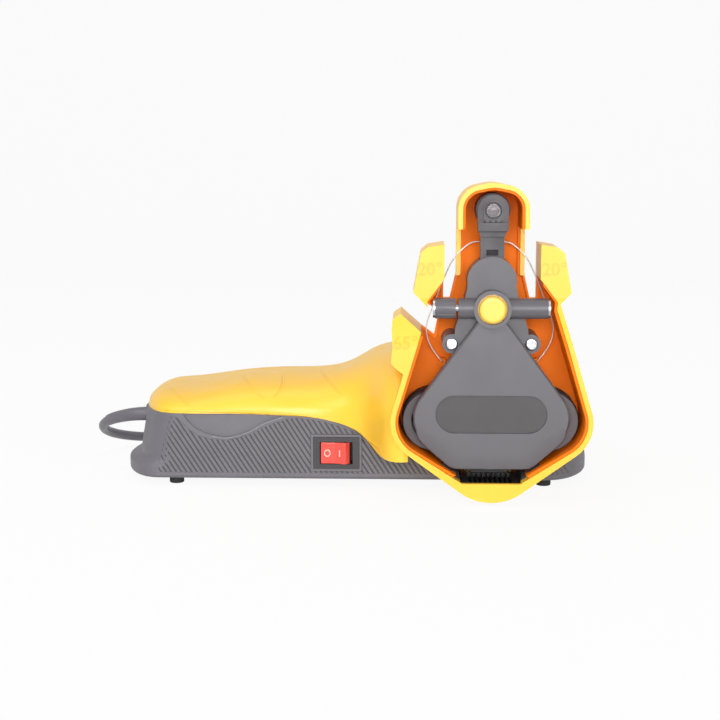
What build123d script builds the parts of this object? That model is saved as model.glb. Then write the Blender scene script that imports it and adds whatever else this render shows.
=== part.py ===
from build123d import *
import os
from math import atan2, cos, degrees, hypot, pi, radians, sin, tan

# Electric belt sharpener for knives and scissors, corded.
# X runs along the body with the head at +X, -Y is the side with the open head, +Z is up.
# The origin is under the middle of the body, on the surface that its feet stand on.

# ---------------------------------------------------------------- overall sizes (mm)
BASE_LENGTH = 221.0          # over the foot of the tub
BASE_DEPTH = 80.0            # flat front of the tub to its back
HEAD_OVERHANG = 37.0         # rim of the head in front of the tub
HEAD_X = 61.5                # symmetry axis of the head
WALL = 2.5                   # moulded walls
FOOT_HEIGHT = 3.5            # underside of the tub above the surface

Y_RIM = -(BASE_DEPTH + HEAD_OVERHANG) / 2
Y_FRONT = Y_RIM + HEAD_OVERHANG
Y_BACK = Y_FRONT + BASE_DEPTH
Y_MID = (Y_FRONT + Y_BACK) / 2
X_LEFT = -BASE_LENGTH / 2
X_RIGHT = BASE_LENGTH / 2

# ---------------------------------------------------------------- clearances (mm)
RUNNING = 0.05               # shaft in a bore, on the radius
SLIDING = 0.2                # guided slides, each side
SEAT_GAP = 0.3               # between housings that are screwed together
LOOSE = 0.4                  # screw in a clearance hole, on the radius

# ---------------------------------------------------------------- tub (mm)
END_BULGE_LEFT = 19.0        # how far the rounded ends bow out in plan
END_BULGE_RIGHT = 22.5
SKIRT_TOP = 9.0              # top of the foot that flares out at the left end
SHOULDER_TOP = 12.5
SHOULDER_INSET = 5.5
TOP_INSET = 9.5              # inset of the left end at the seam
RIGHT_DRAFT = 2.0
FLOOR = 2.4
SCOOP_DEPTH = 1.1           # thumb recess in the front wall, and its lower edge
SCOOP = [(-81.0, 38.0), (-78.5, 32.5), (-73.7, 27.3), (-67.3, 24.5), (-59.1, 23.3),
         (-49.2, 26.0), (-41.5, 30.2), (-33.0, 33.2), (-24.0, 38.0)]

# seam between tub and grip shell: level, then swooping down towards the head
SEAM_LEFT_Z = 33.4
SEAM_Z = 34.2
SEAM_LOW_Z = 18.6

# ---------------------------------------------------------------- grip shell (mm)
SHELL_STEP = 0.4             # the shell stands back from the face of the tub
DOME_POWER = 2.5             # squareness of the cross section
SHELL_END_X = -82.0          # where the rounded left end starts
SHELL_BULGE_RIGHT = 20.0
END_STEPS = (0.42, 0.7, 0.88, 0.965)    # sections of the rounded ends
# x, ridge height, shoulder height, extra depth in front
STATIONS = (
    (-82.0, 43.4, 33.0, 0.0),
    (-60.0, 46.8, 33.0, 0.0),
    (-36.0, 49.0, 33.0, 0.0),
    (-16.0, 49.8, 32.0, 0.0),
    (-4.0, 52.6, 32.0, 2.0),
    (7.0, 58.8, 32.0, 11.0),
    (18.0, 62.4, 32.0, 32.0),
    (28.0, 63.8, 32.0, 30.0),
    (36.0, 64.2, 32.0, 14.0),
    (44.0, 64.4, 32.0, 3.0),
    (52.0, 64.4, 32.0, 0.0),
    (62.0, 64.0, 32.0, 0.0),
    (75.0, 63.1, 32.0, 0.0),
    (88.0, 61.0, 32.0, 0.0),
)

# ---------------------------------------------------------------- head, front view (mm)
# half widths are measured from the axis of the head
WHEEL_SPREAD = 25.4          # wheel axes from the axis of the head
WHEEL_Z = 36.0
CORNER_X = 26.5              # rounded lower corners of the pan
CORNER_Z = 37.0
CORNER_R = 17.6
CHIN_Z = 24.6
CHIN_R = 23.0
RIM = 2.2                    # width of the rim round the wheels
PAN_TOP_X = 28.4
PAN_TOP_Z = 88.8
LIP_Z = 10.0                 # top of the chin lip
LIP_HALF = 13.4
NECK_HALF = 15.3
HOOD_CORNER_R = 10.5         # the hood's two rounded corners, and their height
HOOD_CORNER_Z = 129.6
NECK_LOW_HALF = 18.0
NECK_BREAK_Z = 100.3
SLOT_FLOOR_Z = 88.9          # bottom of the knife slots
SLOT_WALL_X = 20.9           # guide wall of the knife slots
GUIDE_TOP_Z = 114.3
HOOD_TOP_Z = 141.0
HOOD_END_Z = 121.2
NECK_WALL = 2.0

# ---------------------------------------------------------------- head, depths (mm)
PAN_BACK = Y_FRONT - SEAT_GAP
PAN_FLOOR = PAN_BACK - WALL
LINER = 1.3
LINER_WALL = 1.0
LINER_FIT = 0.1
LINER_FLOOR = PAN_FLOOR - LINER
GUIDE_FRONT = Y_RIM + 7.5    # front of the knife guides
NECK_FRONT = LINER_FLOOR - 4.0
SLOPE_START_Z = 71.0
SLOPE_END_Z = 91.0

# ---------------------------------------------------------------- drive (mm)
MODULE = 0.8
MOTOR_TEETH = 42
WHEEL_TEETH = 28
GEAR_WIDTH = 5.0
GEAR_GAP = 0.8               # gear above the liner floor
GEAR_BACK = LINER_FLOOR - GEAR_GAP
WHEEL_BACK = GEAR_BACK - GEAR_WIDTH
WHEEL_WIDTH = 14.0
WHEEL_FRONT = WHEEL_BACK - WHEEL_WIDTH
WHEEL_R = 13.9
TYRE = 1.7
FLANGE_R = 13.2
AXLE_R = 2.5
BUSH_R = 4.0
HUB_R = 5.6
CENTRE_DISTANCE = MODULE * (MOTOR_TEETH + WHEEL_TEETH) / 2
MOTOR_Z = WHEEL_Z - (CENTRE_DISTANCE ** 2 - WHEEL_SPREAD ** 2) ** 0.5
MOTOR_R = 17.8
MOTOR_LENGTH = 57.0
MOTOR_SHAFT_R = 1.6
MOTOR_NOSE_R = 6.5
BRACKET = 2.0
SHELL_FRONT = Y_FRONT + SHELL_STEP
MOTOR_FACE = SHELL_FRONT + WALL + BRACKET

# ---------------------------------------------------------------- belt frame and cover (mm)
FRAME_FRONT = WHEEL_FRONT - 2.6
FRAME_BACK = FRAME_FRONT + 15.0
FRAME_TOP_Z = 98.0
FRAME_TOP_R = 10.8
LEG_X = 17.4
LEG_Z = 70.6
LEG_R = 4.2
COVER_FRONT = Y_RIM + 4.0
COVER_PLATE = 2.2
COVER_WALL = 1.8
COVER_SWEEP_Z = 50.5         # the long bottom curve
COVER_SWEEP_R = 35.0
COVER_CORNER_X = 20.0
COVER_CORNER_Z = 38.5
COVER_CORNER_R = 14.2
COVER_TIP_R = 2.1
BARREL_Z = 86.5
BARREL_R = 4.45
BARREL_Y = WHEEL_FRONT - BARREL_R - 0.8
BOSS_R = 8.2
BOSS_FRONT = Y_RIM + 1.9
BUTTON_R = 5.8
BUTTON_BORE = 6.6
BUTTON_FRONT = Y_RIM + 0.3
PILL_LENGTH = 48.8
PILL_HEIGHT = 16.8
PILL_Z = 40.2
PILL_DEPTH = 1.0

# ---------------------------------------------------------------- tension arm (mm)
IDLER_Z = 129.0
IDLER_R = 7.6
IDLER_WIDTH = 13.0
ARM_HEAD_R = 6.8
ARM_HALF = 5.2

# ---------------------------------------------------------------- rocker switch (mm)
SWITCH_X = -8.2
SWITCH_Z = 16.2
BEZEL_W = 21.2
BEZEL_H = 14.8
BEZEL_T = 1.5
ROCKER_HALF = 6.6
ROCKER_H = 10.0
ROCKER_TILT = 10.0

# ---------------------------------------------------------------- cord (mm)
CORD_D = 4.8
CORD_Z = 27.0
GLAND_R = 4.2
GLAND_FLANGE_R = 4.9
GLAND_OUT = 0.8
GLAND_X = X_LEFT + TOP_INSET - 1.4
GLAND_LENGTH = 8.2
CORD_RELIEF = 24.0           # tapered sleeve where the cord leaves the tub
RELIEF_R = 3.4
RELIEF_WALL = 0.35
COIL_R = 26.0                # middle of the turns
COIL_LAYERS = 2
COIL_COLUMNS = 5
COIL_CENTRE = (-30.0, 118.0)
COIL_HEIGHT = COIL_LAYERS * CORD_D
COIL_OUT = COIL_R + COIL_COLUMNS * CORD_D / 2
COIL_IN = COIL_R - COIL_COLUMNS * CORD_D / 2


# ---------------------------------------------------------------- helpers
def slab(sketch, y_front, y_back):
    """A front-view sketch as a solid between two depths."""
    return extrude(Plane.XZ.offset(-y_back) * sketch, y_back - y_front, dir=(0, -1, 0))


def head_slab(sketch, y_front, y_back):
    """The same for a sketch drawn about the axis of the head."""
    return slab(Pos(HEAD_X, 0) * sketch, y_front, y_back)


def disc(x, z, radius):
    return Pos(x, z) * Circle(radius)


def ring(x, z, outer, inner):
    return disc(x, z, outer) - disc(x, z, inner)


def rect(x0, z0, x1, z1):
    return Pos((x0 + x1) / 2, (z0 + z1) / 2) * Rectangle(abs(x1 - x0), abs(z1 - z0))


def poly(*points):
    return Polygon(*points, align=None)


def belt_round(*discs):
    """Outline round discs (x, z, radius) taken anticlockwise, along their common tangents."""
    contacts = []
    for (x0, z0, r0), (x1, z1, r1) in zip(discs, discs[1:] + discs[:1]):
        span = hypot(x1 - x0, z1 - z0)
        along = ((x1 - x0) / span, (z1 - z0) / span)
        lean = (r0 - r1) / span
        out = (1 - lean ** 2) ** 0.5
        nx = lean * along[0] + out * along[1]
        nz = lean * along[1] - out * along[0]
        contacts.append(((x0 + r0 * nx, z0 + r0 * nz), (x1 + r1 * nx, z1 + r1 * nz), atan2(nz, nx)))
    edges = []
    for index, (x, z, radius) in enumerate(discs):
        _, arrive, first = contacts[index - 1]
        leave, reach, last = contacts[index]
        middle = first + ((last - first) % (2 * pi)) / 2
        edges.append(ThreePointArc(arrive, (x + radius * cos(middle), z + radius * sin(middle)), leave))
        edges.append(Line(leave, reach))
    return make_face(edges)


def box(x0, y0, z0, x1, y1, z1):
    size = Box(x1 - x0, y1 - y0, z1 - z0, align=(Align.MIN, Align.MIN, Align.MIN))
    return Pos(x0, y0, z0) * size


def post(x, y, z0, z1, radius):
    bottom = (Align.CENTER, Align.CENTER, Align.MIN)
    return Pos(x, y, z0) * Cylinder(radius, z1 - z0, align=bottom)


def lying(x0, x1, radius):
    """Round bar along x in the line of the cord where it leaves the body."""
    low = (Align.CENTER, Align.CENTER, Align.MIN)
    return Pos(x0, Y_MID, CORD_Z) * Rot(0, 90, 0) * Cylinder(radius, x1 - x0, align=low)


def mirrored(points):
    """Points of a right half, top to bottom, closed by their mirror image."""
    return list(points) + [(-x, z) for x, z in reversed(points)]


def end_arc(x, bulge, half, side):
    """Half ellipse that closes the plan at one end."""
    return EllipticalCenterArc((x, Y_MID), bulge, half, start_angle=-90 * side, arc_size=180)


def plan(left, right, half, bulge_left, bulge_right):
    """Plan outline of the body: straight sides and bowed ends."""
    x0 = left + bulge_left
    x1 = right - bulge_right
    front = Line((x0, Y_MID - half), (x1, Y_MID - half))
    back = Line((x1, Y_MID + half), (x0, Y_MID + half))
    ends = (end_arc(x1, bulge_right, half, 1), end_arc(x0, bulge_left, half, -1))
    return make_face([front, ends[0], back, ends[1]])


# ---------------------------------------------------------------- seam
def seam_region(lift):
    """Front view of everything under the seam, the seam moved up by lift."""
    level_end = (-30.0, SEAM_Z - 0.9 + lift)
    points = [(-8.0, 30.6), (2.5, 26.6), (9.0, 21.8), (18.0, SEAM_LOW_Z)]
    swoop = Spline(
        [level_end] + [(x, z + lift) for x, z in points],
        tangents=[(1.0, -0.05), (1.0, 0.0)],
    )
    left = Spline(
        [(X_LEFT - 5, SEAM_LEFT_Z + lift), (-70.0, SEAM_Z + lift), level_end],
        tangents=[(1.0, 0.04), (1.0, -0.05)],
    )
    right_x = X_RIGHT + 5
    right = Line((18.0, SEAM_LOW_Z + lift), (right_x, SEAM_LOW_Z + lift))
    rest = Polyline(
        (right_x, SEAM_LOW_Z + lift), (right_x, -5), (X_LEFT - 5, -5),
        (X_LEFT - 5, SEAM_LEFT_Z + lift),
    )
    return make_face([left, swoop, right, rest])


def below_seam(lift=0.0):
    return slab(seam_region(lift), Y_RIM - 10, Y_BACK + 10)


# ---------------------------------------------------------------- tub
SCREW_X = (X_LEFT + 32.5, X_RIGHT - 16.5)
SCREW_Y = (Y_FRONT + 23.5, Y_BACK - 23.5)
FOOT_X = (X_LEFT + 26.6, X_RIGHT - 22.3)
FOOT_Y = (Y_FRONT + 8.0, Y_BACK - 8.0)
BASE_SCREWS = [(x, y) for x in SCREW_X for y in SCREW_Y]
FEET = [(x, y) for x in FOOT_X for y in FOOT_Y]
FOOT_R = 3.4
FOOT_PEG_R = 1.8
SCREW_R = 1.5
SCREW_HEAD_R = 2.9
BOSS_WALL = 2.4


def tub_level(z, inset_left, inset_right):
    half = BASE_DEPTH / 2
    outline = plan(X_LEFT + inset_left, X_RIGHT - inset_right, half, END_BULGE_LEFT, END_BULGE_RIGHT)
    return Pos(0, 0, z) * outline


def make_tub():
    foot = tub_level(FOOT_HEIGHT, 0, 0)
    skirt = extrude(foot, SKIRT_TOP - FOOT_HEIGHT)
    shoulder = loft([tub_level(SKIRT_TOP, 0, 0), tub_level(SHOULDER_TOP, SHOULDER_INSET, 0.4)], ruled=True)
    wall = loft(
        [tub_level(SHOULDER_TOP, SHOULDER_INSET, 0.4), tub_level(SEAM_Z + 2, TOP_INSET, RIGHT_DRAFT)],
        ruled=True,
    )
    outer = skirt + shoulder + wall
    bottom = outer.faces().sort_by(Axis.Z)[0]
    outer = fillet(bottom.edges(), 1.6)
    inner_plan = plan(
        X_LEFT + TOP_INSET + WALL, X_RIGHT - RIGHT_DRAFT - WALL, BASE_DEPTH / 2 - WALL,
        END_BULGE_LEFT - WALL, END_BULGE_RIGHT - WALL,
    )
    tub = outer - extrude(Pos(0, 0, FOOT_HEIGHT + FLOOR) * inner_plan, SEAM_Z + 10)
    tub &= below_seam()
    # thumb recess pressed into the front wall under the seam
    edge = Spline(SCOOP)
    recess = make_face([edge, Line(SCOOP[-1], SCOOP[0])])
    tub -= slab(recess, Y_FRONT - 1, Y_FRONT + SCOOP_DEPTH)
    # raised frame round the switch and its hole
    frame = rect(SWITCH_X - 11.65, SWITCH_Z - 8.55, SWITCH_X + 11.65, SWITCH_Z + 8.55)
    tub += slab(frame, Y_FRONT - 1.0, Y_FRONT)
    bezel = rect(
        SWITCH_X - BEZEL_W / 2 - 0.1, SWITCH_Z - BEZEL_H / 2 - 0.1,
        SWITCH_X + BEZEL_W / 2 + 0.1, SWITCH_Z + BEZEL_H / 2 + 0.1,
    )
    tub -= slab(bezel, Y_FRONT - 3, Y_FRONT)
    hole = rect(SWITCH_X - 9.5, SWITCH_Z - 6.2, SWITCH_X + 9.5, SWITCH_Z + 6.2)
    tub -= slab(hole, Y_FRONT - 3, Y_FRONT + WALL + 1)
    # screw posts, foot sockets
    for x, y in BASE_SCREWS:
        tub += post(x, y, FOOT_HEIGHT, seam_height(x) - SEAT_GAP, SCREW_R + LOOSE + BOSS_WALL)
        tub -= post(x, y, 0, seam_height(x) + 1, SCREW_R + LOOSE)
        tub -= post(x, y, 0, FOOT_HEIGHT + 6.0, SCREW_HEAD_R + LOOSE)
    for x, y in FEET:
        tub -= post(x, y, 0, FOOT_HEIGHT + FLOOR + 1, FOOT_PEG_R)
    # cord hole in the left end, cradle for the motor
    tub -= lying(X_LEFT, GLAND_X + 20, GLAND_R)
    tub -= lying(X_LEFT, GLAND_X, GLAND_FLANGE_R + 0.1)
    for y in (MOTOR_FACE + 10, MOTOR_FACE + 42):
        cradle = box(
            HEAD_X - 16, y, FOOT_HEIGHT + FLOOR - 0.1, HEAD_X + 16, y + 2.5, SEAM_LOW_Z - 2
        )
        tub += cradle
    tub -= Pos(HEAD_X, Y_MID, MOTOR_Z) * Rot(90, 0, 0) * Cylinder(MOTOR_R, 90)
    return tub


def seam_height(x):
    if x < 0:
        return SEAM_Z - 0.3
    return SEAM_LOW_Z


# ---------------------------------------------------------------- grip shell
def dome(half, z0, z1, side):
    """Half of the rounded top, from its shoulder to the ridge."""
    steps = (1.0, 0.97, 0.85, 0.6, 0.3, 0.0)
    points = []
    for t in steps:
        rise = (1 - t ** DOME_POWER) ** (1 / DOME_POWER)
        points.append((side * half * t, z0 + (z1 - z0) * rise))
    return points


def station(x, ridge, shoulder, extra, inset, extra_back=0.0):
    """Cross section of the shell at one x."""
    half = BASE_DEPTH / 2 - SHELL_STEP - inset
    front = half + extra
    back = half + extra_back
    z1 = ridge - inset
    back_dome = Spline(dome(back, shoulder, z1, 1), tangents=[(0, 1), (-1, 0)])
    front_dome = Spline(dome(front, shoulder, z1, -1)[::-1], tangents=[(-1, 0), (0, -1)])
    walls = Polyline((-front, shoulder), (-front, 0), (back, 0), (back, shoulder))
    outline = make_face([back_dome, front_dome, walls])
    return Plane(origin=(x, Y_MID, 0), x_dir=(0, 1, 0), z_dir=(1, 0, 0)) * outline


def end_stations(row, bulge, side, inset):
    """Sections of a rounded end, which shrink along an ellipse in plan and in elevation."""
    x, ridge, shoulder, _ = row
    half = BASE_DEPTH / 2 - SHELL_STEP
    sections = []
    for reach in END_STEPS:
        narrower = half * ((1 - reach ** 2) ** 0.5 - 1)
        rise = (1 - reach ** DOME_POWER) ** (1 / DOME_POWER)
        top = shoulder + (ridge - shoulder) * rise
        at = x + side * (bulge - inset) * reach
        sections.append(station(at, top, shoulder, narrower, inset * rise, narrower))
    return sections


def shell_form(inset):
    """Outer form of the grip and the motor housing, down to the table, inset all round."""
    left_bulge = SHELL_END_X - (X_LEFT + TOP_INSET)
    left = end_stations(STATIONS[0], left_bulge, -1, inset)
    right = end_stations(STATIONS[-1], SHELL_BULGE_RIGHT, 1, inset)
    middle = [station(*row, inset) for row in STATIONS]
    return loft(left[::-1] + middle + right)


# ---------------------------------------------------------------- outlines of the head
def pan_inside(inset):
    """Inner edge of the pan, its edge moved inwards by inset."""
    corner = CORNER_R - RIM - inset
    low = (LIP_HALF - 1 - inset, LIP_Z + 1 + inset)
    top = (PAN_TOP_X - RIM - inset, PAN_TOP_Z - inset)
    return belt_round(
        (-low[0], low[1], 1.0), (low[0], low[1], 1.0), (CORNER_X, CORNER_Z, corner),
        (top[0], top[1], 1.0), (-top[0], top[1], 1.0), (-CORNER_X, CORNER_Z, corner),
    )


PAN = belt_round(
    (0, CHIN_Z, CHIN_R), (CORNER_X, CORNER_Z, CORNER_R), (PAN_TOP_X, PAN_TOP_Z, 1.0),
    (-PAN_TOP_X, PAN_TOP_Z, 1.0), (-CORNER_X, CORNER_Z, CORNER_R),
)
WING = [(20.9, 114.3), (28.2, 113.1), (31.2, 110.6), (34.4, 93.3), (29.3, 88.2), (20.0, 80.0)]
WING_POCKET = [(23.1, 112.0), (27.5, 110.9), (29.0, 109.4), (32.0, 94.4), (30.6, 92.6), (23.1, 102.6)]
GUIDE = [(-39.9, 84.3), (-43.4, 81.8), (-43.8, 77.6), (-43.3, 70.6), (-43.9, 63.0),
         (-41.8, 60.8), (-38.4, 58.3), (-30.0, 58.3), (-25.0, 72.1)]
GUIDE_POCKET = [(-39.5, 80.9), (-41.3, 79.8), (-41.0, 70.0), (-41.4, 64.2), (-38.6, 62.0), (-36.4, 70.0),
                (-36.2, 78.0)]
SCISSOR_SLOT = [(-50.0, 107.1), (-34.7, 93.0), (-28.5, 87.3), (-24.6, 83.6), (-23.3, 80.4),
                (-24.9, 72.1), (-31.3, 76.8), (-39.9, 84.3), (-52.0, 94.8)]
NECK_LOW_X = 24.6
NECK_LOW_Z = 70.0


def neck_outline(wall):
    """Neck and hood, their edges moved inwards by wall."""
    half = NECK_HALF - wall
    centre = HOOD_TOP_Z - NECK_HALF
    low = [(half, centre), (half, NECK_BREAK_Z), (NECK_LOW_HALF - wall, SLOT_FLOOR_Z),
           (NECK_LOW_X - wall, 79.0), (NECK_LOW_X, NECK_LOW_Z)]
    corner_x = NECK_HALF - HOOD_CORNER_R
    corner_r = HOOD_CORNER_R - wall
    hood = belt_round(
        (0, centre, half), (corner_x, HOOD_CORNER_Z, corner_r),
        (0, centre, half), (-corner_x, HOOD_CORNER_Z, corner_r),
    )
    return poly(*mirrored(low)) + hood


def flip(points):
    return [(-x, z) for x, z in points]


def knife_slot():
    return [(NECK_HALF, GUIDE_TOP_Z + 8), (SLOT_WALL_X, GUIDE_TOP_Z + 8), (SLOT_WALL_X, SLOT_FLOOR_Z),
            (NECK_LOW_HALF, SLOT_FLOOR_Z), (NECK_HALF, NECK_BREAK_Z)]


def belt_gap(inset):
    """Room for the belt between the slot floors and the slanted fronts of the knife guides."""
    side = [(SLOT_WALL_X - inset, 99.3), (28.4 - inset, 89.3), (27.0 - inset, 78.0)]
    return poly(*mirrored(side))


def slots(grow=0.0):
    """The three blade slots cut through the head, widened all round by grow."""
    cuts = [knife_slot(), flip(knife_slot()), SCISSOR_SLOT]
    if grow == 0.0:
        return [poly(*cut) for cut in cuts]
    return [offset(poly(*cut), grow, kind=Kind.INTERSECTION) for cut in cuts]


def head_inside(inset):
    """Everything inside the rim: pan, neck and belt gap, their edges moved inwards by inset."""
    inside = pan_inside(inset) + neck_outline(NECK_WALL + inset) + belt_gap(inset)
    for cut in slots(inset):
        inside -= cut
    return inside


OUTLINE = PAN + neck_outline(0) + poly(*WING) + poly(*flip(WING)) + poly(*GUIDE)
for cut in slots():
    OUTLINE -= cut


def front_trim(lift):
    """What lies in front of the sloping rim, guides and neck walls; lift sets it further back."""
    side = Plane.YZ * poly(
        (Y_RIM - 5, SLOPE_START_Z), (Y_RIM + lift, SLOPE_START_Z), (GUIDE_FRONT + lift, SLOPE_END_Z),
        (GUIDE_FRONT + lift, HOOD_END_Z), (Y_RIM - 5, HOOD_END_Z),
    )
    slope = extrude(Pos(HEAD_X, 0, 0) * side, 60, both=True)
    half = SLOT_WALL_X + lift
    neck = box(
        HEAD_X - half, Y_RIM - 5, SLOT_FLOOR_Z - 8, HEAD_X + half, NECK_FRONT + lift, HOOD_END_Z
    )
    hood_front = box(HEAD_X - 60, Y_RIM - 5, 0, HEAD_X + 60, Y_RIM + lift, HOOD_TOP_Z + 1)
    return slope + neck + hood_front


LEGS = [(-LEG_X, LEG_Z), (LEG_X, LEG_Z)]
AXLES = [(-WHEEL_SPREAD, WHEEL_Z), (WHEEL_SPREAD, WHEEL_Z)]
MOTOR_SCREWS = [(-12.5, MOTOR_Z), (12.5, MOTOR_Z)]
WIRE_FEET = [(-21.2, 60.0), (21.2, 60.0)]
WIRE_HOOK_Z = 114.5
GRILLE_TOP = LIP_Z - 0.3
GRILLE_T = 1.8


def holes(places, radius):
    return Sketch() + [disc(x, z, radius) for x, z in places]


def make_head_shell():
    shell = head_slab(OUTLINE, Y_RIM, PAN_BACK)
    shell -= head_slab(head_inside(0.0), Y_RIM - 1, PAN_FLOOR)
    shell -= front_trim(0)
    # pockets behind the knife guides and the scissor guide
    for pocket in (WING_POCKET, flip(WING_POCKET), GUIDE_POCKET):
        shell -= head_slab(poly(*pocket), GUIDE_FRONT + WALL, PAN_BACK + 1)
    # dust hopper behind the chin lip, with a ledge for the grille
    pocket = rect(-LIP_HALF, GRILLE_TOP - GRILLE_T, LIP_HALF, LIP_Z + 3)
    shell -= head_slab(pocket, Y_RIM + WALL, PAN_FLOOR)
    hopper = disc(0, CHIN_Z, CHIN_R - WALL) & rect(-LIP_HALF + 2, 0, LIP_HALF - 2, LIP_Z)
    shell -= head_slab(hopper, Y_RIM + WALL, PAN_FLOOR)
    # ribs up the back of the neck
    for x in (-7.0, 7.0):
        shell += head_slab(rect(x - 1, 66, x + 1, HOOD_TOP_Z - 9), PAN_BACK - 0.1, PAN_BACK + 3.5)
    shell += head_slab(holes(AXLES, AXLE_R + 2.2), PAN_BACK - 0.1, PAN_BACK + SEAT_GAP + SHELL_STEP)
    shell -= head_slab(holes(AXLES, AXLE_R), PAN_FLOOR - 5, PAN_BACK + 5)
    shell -= head_slab(holes(LEGS, SCREW_R), PAN_FLOOR - 5, PAN_BACK + 5)
    shell -= head_slab(holes(MOTOR_SCREWS, SCREW_R + 0.2), PAN_FLOOR - 5, PAN_BACK + 5)
    shell -= head_slab(disc(0, MOTOR_Z, MOTOR_NOSE_R + LOOSE), PAN_FLOOR - 5, PAN_BACK + 5)
    return shell


def make_liner():
    """Inner lining of the head, let in against its floor and walls."""
    liner = head_slab(head_inside(LINER_FIT), Y_RIM, PAN_FLOOR)
    liner -= head_slab(head_inside(LINER_FIT + LINER_WALL), Y_RIM - 1, LINER_FLOOR)
    liner -= front_trim(1.2)
    for cut in slots(1.2):
        liner -= head_slab(cut, Y_RIM, NECK_FRONT + 1.2)
    room = rect(-LIP_HALF - 3, 0, LIP_HALF + 3, LIP_Z + LINER_WALL + 2.4)
    liner -= head_slab(room, Y_RIM, LINER_FLOOR)
    liner -= head_slab(rect(-20, 0, 20, GRILLE_TOP + 0.2), Y_RIM, Y_FRONT)
    liner += head_slab(holes(WIRE_FEET, 1.9), WIRE_Y + WIRE_R, LINER_FLOOR + 0.1)
    liner -= head_slab(holes(WIRE_FEET, WIRE_R), WIRE_Y - 2, LINER_FLOOR + 0.1)
    hook = rect(-2.0, WIRE_HOOK_Z - 2.4, 2.0, WIRE_HOOK_Z - WIRE_R)
    liner += head_slab(hook, WIRE_Y - 1.2, LINER_FLOOR + 0.1)
    liner -= head_slab(holes(AXLES, AXLE_R + 2.0), Y_RIM, Y_FRONT)
    liner -= head_slab(holes(LEGS, LEG_R + 0.1), Y_RIM, Y_FRONT)
    liner -= head_slab(holes(MOTOR_SCREWS, SCREW_HEAD_R + LOOSE), Y_RIM, Y_FRONT)
    liner -= head_slab(disc(0, MOTOR_Z, MOTOR_NOSE_R + LOOSE), Y_RIM, Y_FRONT)
    return liner


WIRE_R = 0.45
WIRE_Y = NECK_FRONT - 0.7
WIRE_SIDE = [(8.6, 114.5), (15.5, 109.1), (20.4, 98.2), (25.6, 84.4), (28.4, 75.6), (27.2, 67.5),
             (21.2, 60.0)]


def make_blade_spring():
    """Thin spring wire that steadies the blade against its guide: a hoop open at the bottom."""
    points = flip(WIRE_SIDE)[::-1] + WIRE_SIDE
    points = [(HEAD_X + x, WIRE_Y, z) for x, z in points]
    path = FilletPolyline(*points, radius=3.0)
    start = path @ 0
    hoop = sweep(Plane(origin=start, z_dir=path % 0) * Circle(WIRE_R), path=path)
    tails = Part()
    for x, z in WIRE_FEET:
        tails += head_slab(disc(x, z, WIRE_R), WIRE_Y, LINER_FLOOR)
    return hoop + tails


def make_grille():
    frame = box(
        HEAD_X - LIP_HALF + 0.1, Y_RIM + WALL + 0.1, GRILLE_TOP - GRILLE_T,
        HEAD_X + LIP_HALF - 0.1, LINER_FLOOR - 0.1, GRILLE_TOP,
    )
    pitch = 2.2
    count = 9
    for index in range(count):
        x = HEAD_X + (index - (count - 1) / 2) * pitch
        frame -= box(x - 0.75, Y_RIM + WALL + 2, 0, x + 0.75, GEAR_BACK - GEAR_WIDTH - 2.5, LIP_Z + 2)
    gear_room = head_slab(disc(0, MOTOR_Z, MODULE * MOTOR_TEETH / 2 + 1.4), WHEEL_BACK - 1, LINER_FLOOR)
    return frame - gear_room


# ---------------------------------------------------------------- grip shell, finished
def make_grip_shell():
    outer = shell_form(0.0) & box(X_LEFT, Y_RIM - 10, 0, X_RIGHT, Y_BACK - SHELL_STEP, 90)
    under = slab(seam_region(WALL), Y_RIM - 10, SHELL_FRONT)
    cavity = shell_form(WALL) - under
    shell = outer - cavity
    # closed front wall behind the head, which the motor hangs from
    shell += slab(rect(HEAD_X - 40, 0, X_RIGHT, 80), SHELL_FRONT, SHELL_FRONT + WALL) & outer
    shell -= below_seam(0.0)
    shell -= head_slab(rect(-22, SEAM_LOW_Z - 1, 22, 31.5), SHELL_FRONT + WALL, Y_FRONT + 12)
    filled = PAN + neck_outline(0) + poly(*WING) + poly(*flip(WING)) + poly(*GUIDE) + poly(*SCISSOR_SLOT)
    shell -= head_slab(filled, Y_RIM - 5, SHELL_FRONT)
    # nothing of the flared flank shows under or beyond the pan
    beyond = poly((HEAD_X - 36.5, 0), (HEAD_X - 36.5, 23.5), (HEAD_X, 23.5), (HEAD_X, 90),
                  (X_RIGHT, 90), (X_RIGHT, 0))
    shell -= slab(beyond, Y_RIM - 5, SHELL_FRONT)
    for x, y in BASE_SCREWS:
        boss = post(x, y, seam_height(x), 60, SCREW_R + BOSS_WALL) & shell_form(1.0)
        shell += boss
        shell -= post(x, y, 0, seam_height(x) + 7, SCREW_R)
    shell -= head_slab(disc(0, MOTOR_Z, MOTOR_NOSE_R + LOOSE), Y_FRONT - 3, MOTOR_FACE)
    shell -= head_slab(holes(MOTOR_SCREWS, SCREW_R + 0.2), Y_FRONT - 3, MOTOR_FACE)
    return shell


# ---------------------------------------------------------------- gears
def gear_outline(teeth, x, z, phase):
    """Straight-flanked gear outline; one tooth points along phase degrees."""
    pitch_r = MODULE * teeth / 2
    root = pitch_r - 1.15 * MODULE
    tip = pitch_r + 0.8 * MODULE
    pitch = 2 * pi / teeth
    points = []
    for index in range(teeth):
        middle = radians(phase) + index * pitch
        for radius, share in ((root, -0.31), (tip, -0.12), (tip, 0.12), (root, 0.31)):
            angle = middle + share * pitch
            points.append((x + radius * cos(angle), z + radius * sin(angle)))
    return poly(*points)


def wheel_phase(direction):
    """Tooth angle of a wheel gear so that it meshes with the motor gear in that direction."""
    step = 360 / MOTOR_TEETH
    ahead = (90 - direction) % step
    return direction + 180 - ahead * MOTOR_TEETH / WHEEL_TEETH + 180 / WHEEL_TEETH


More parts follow.
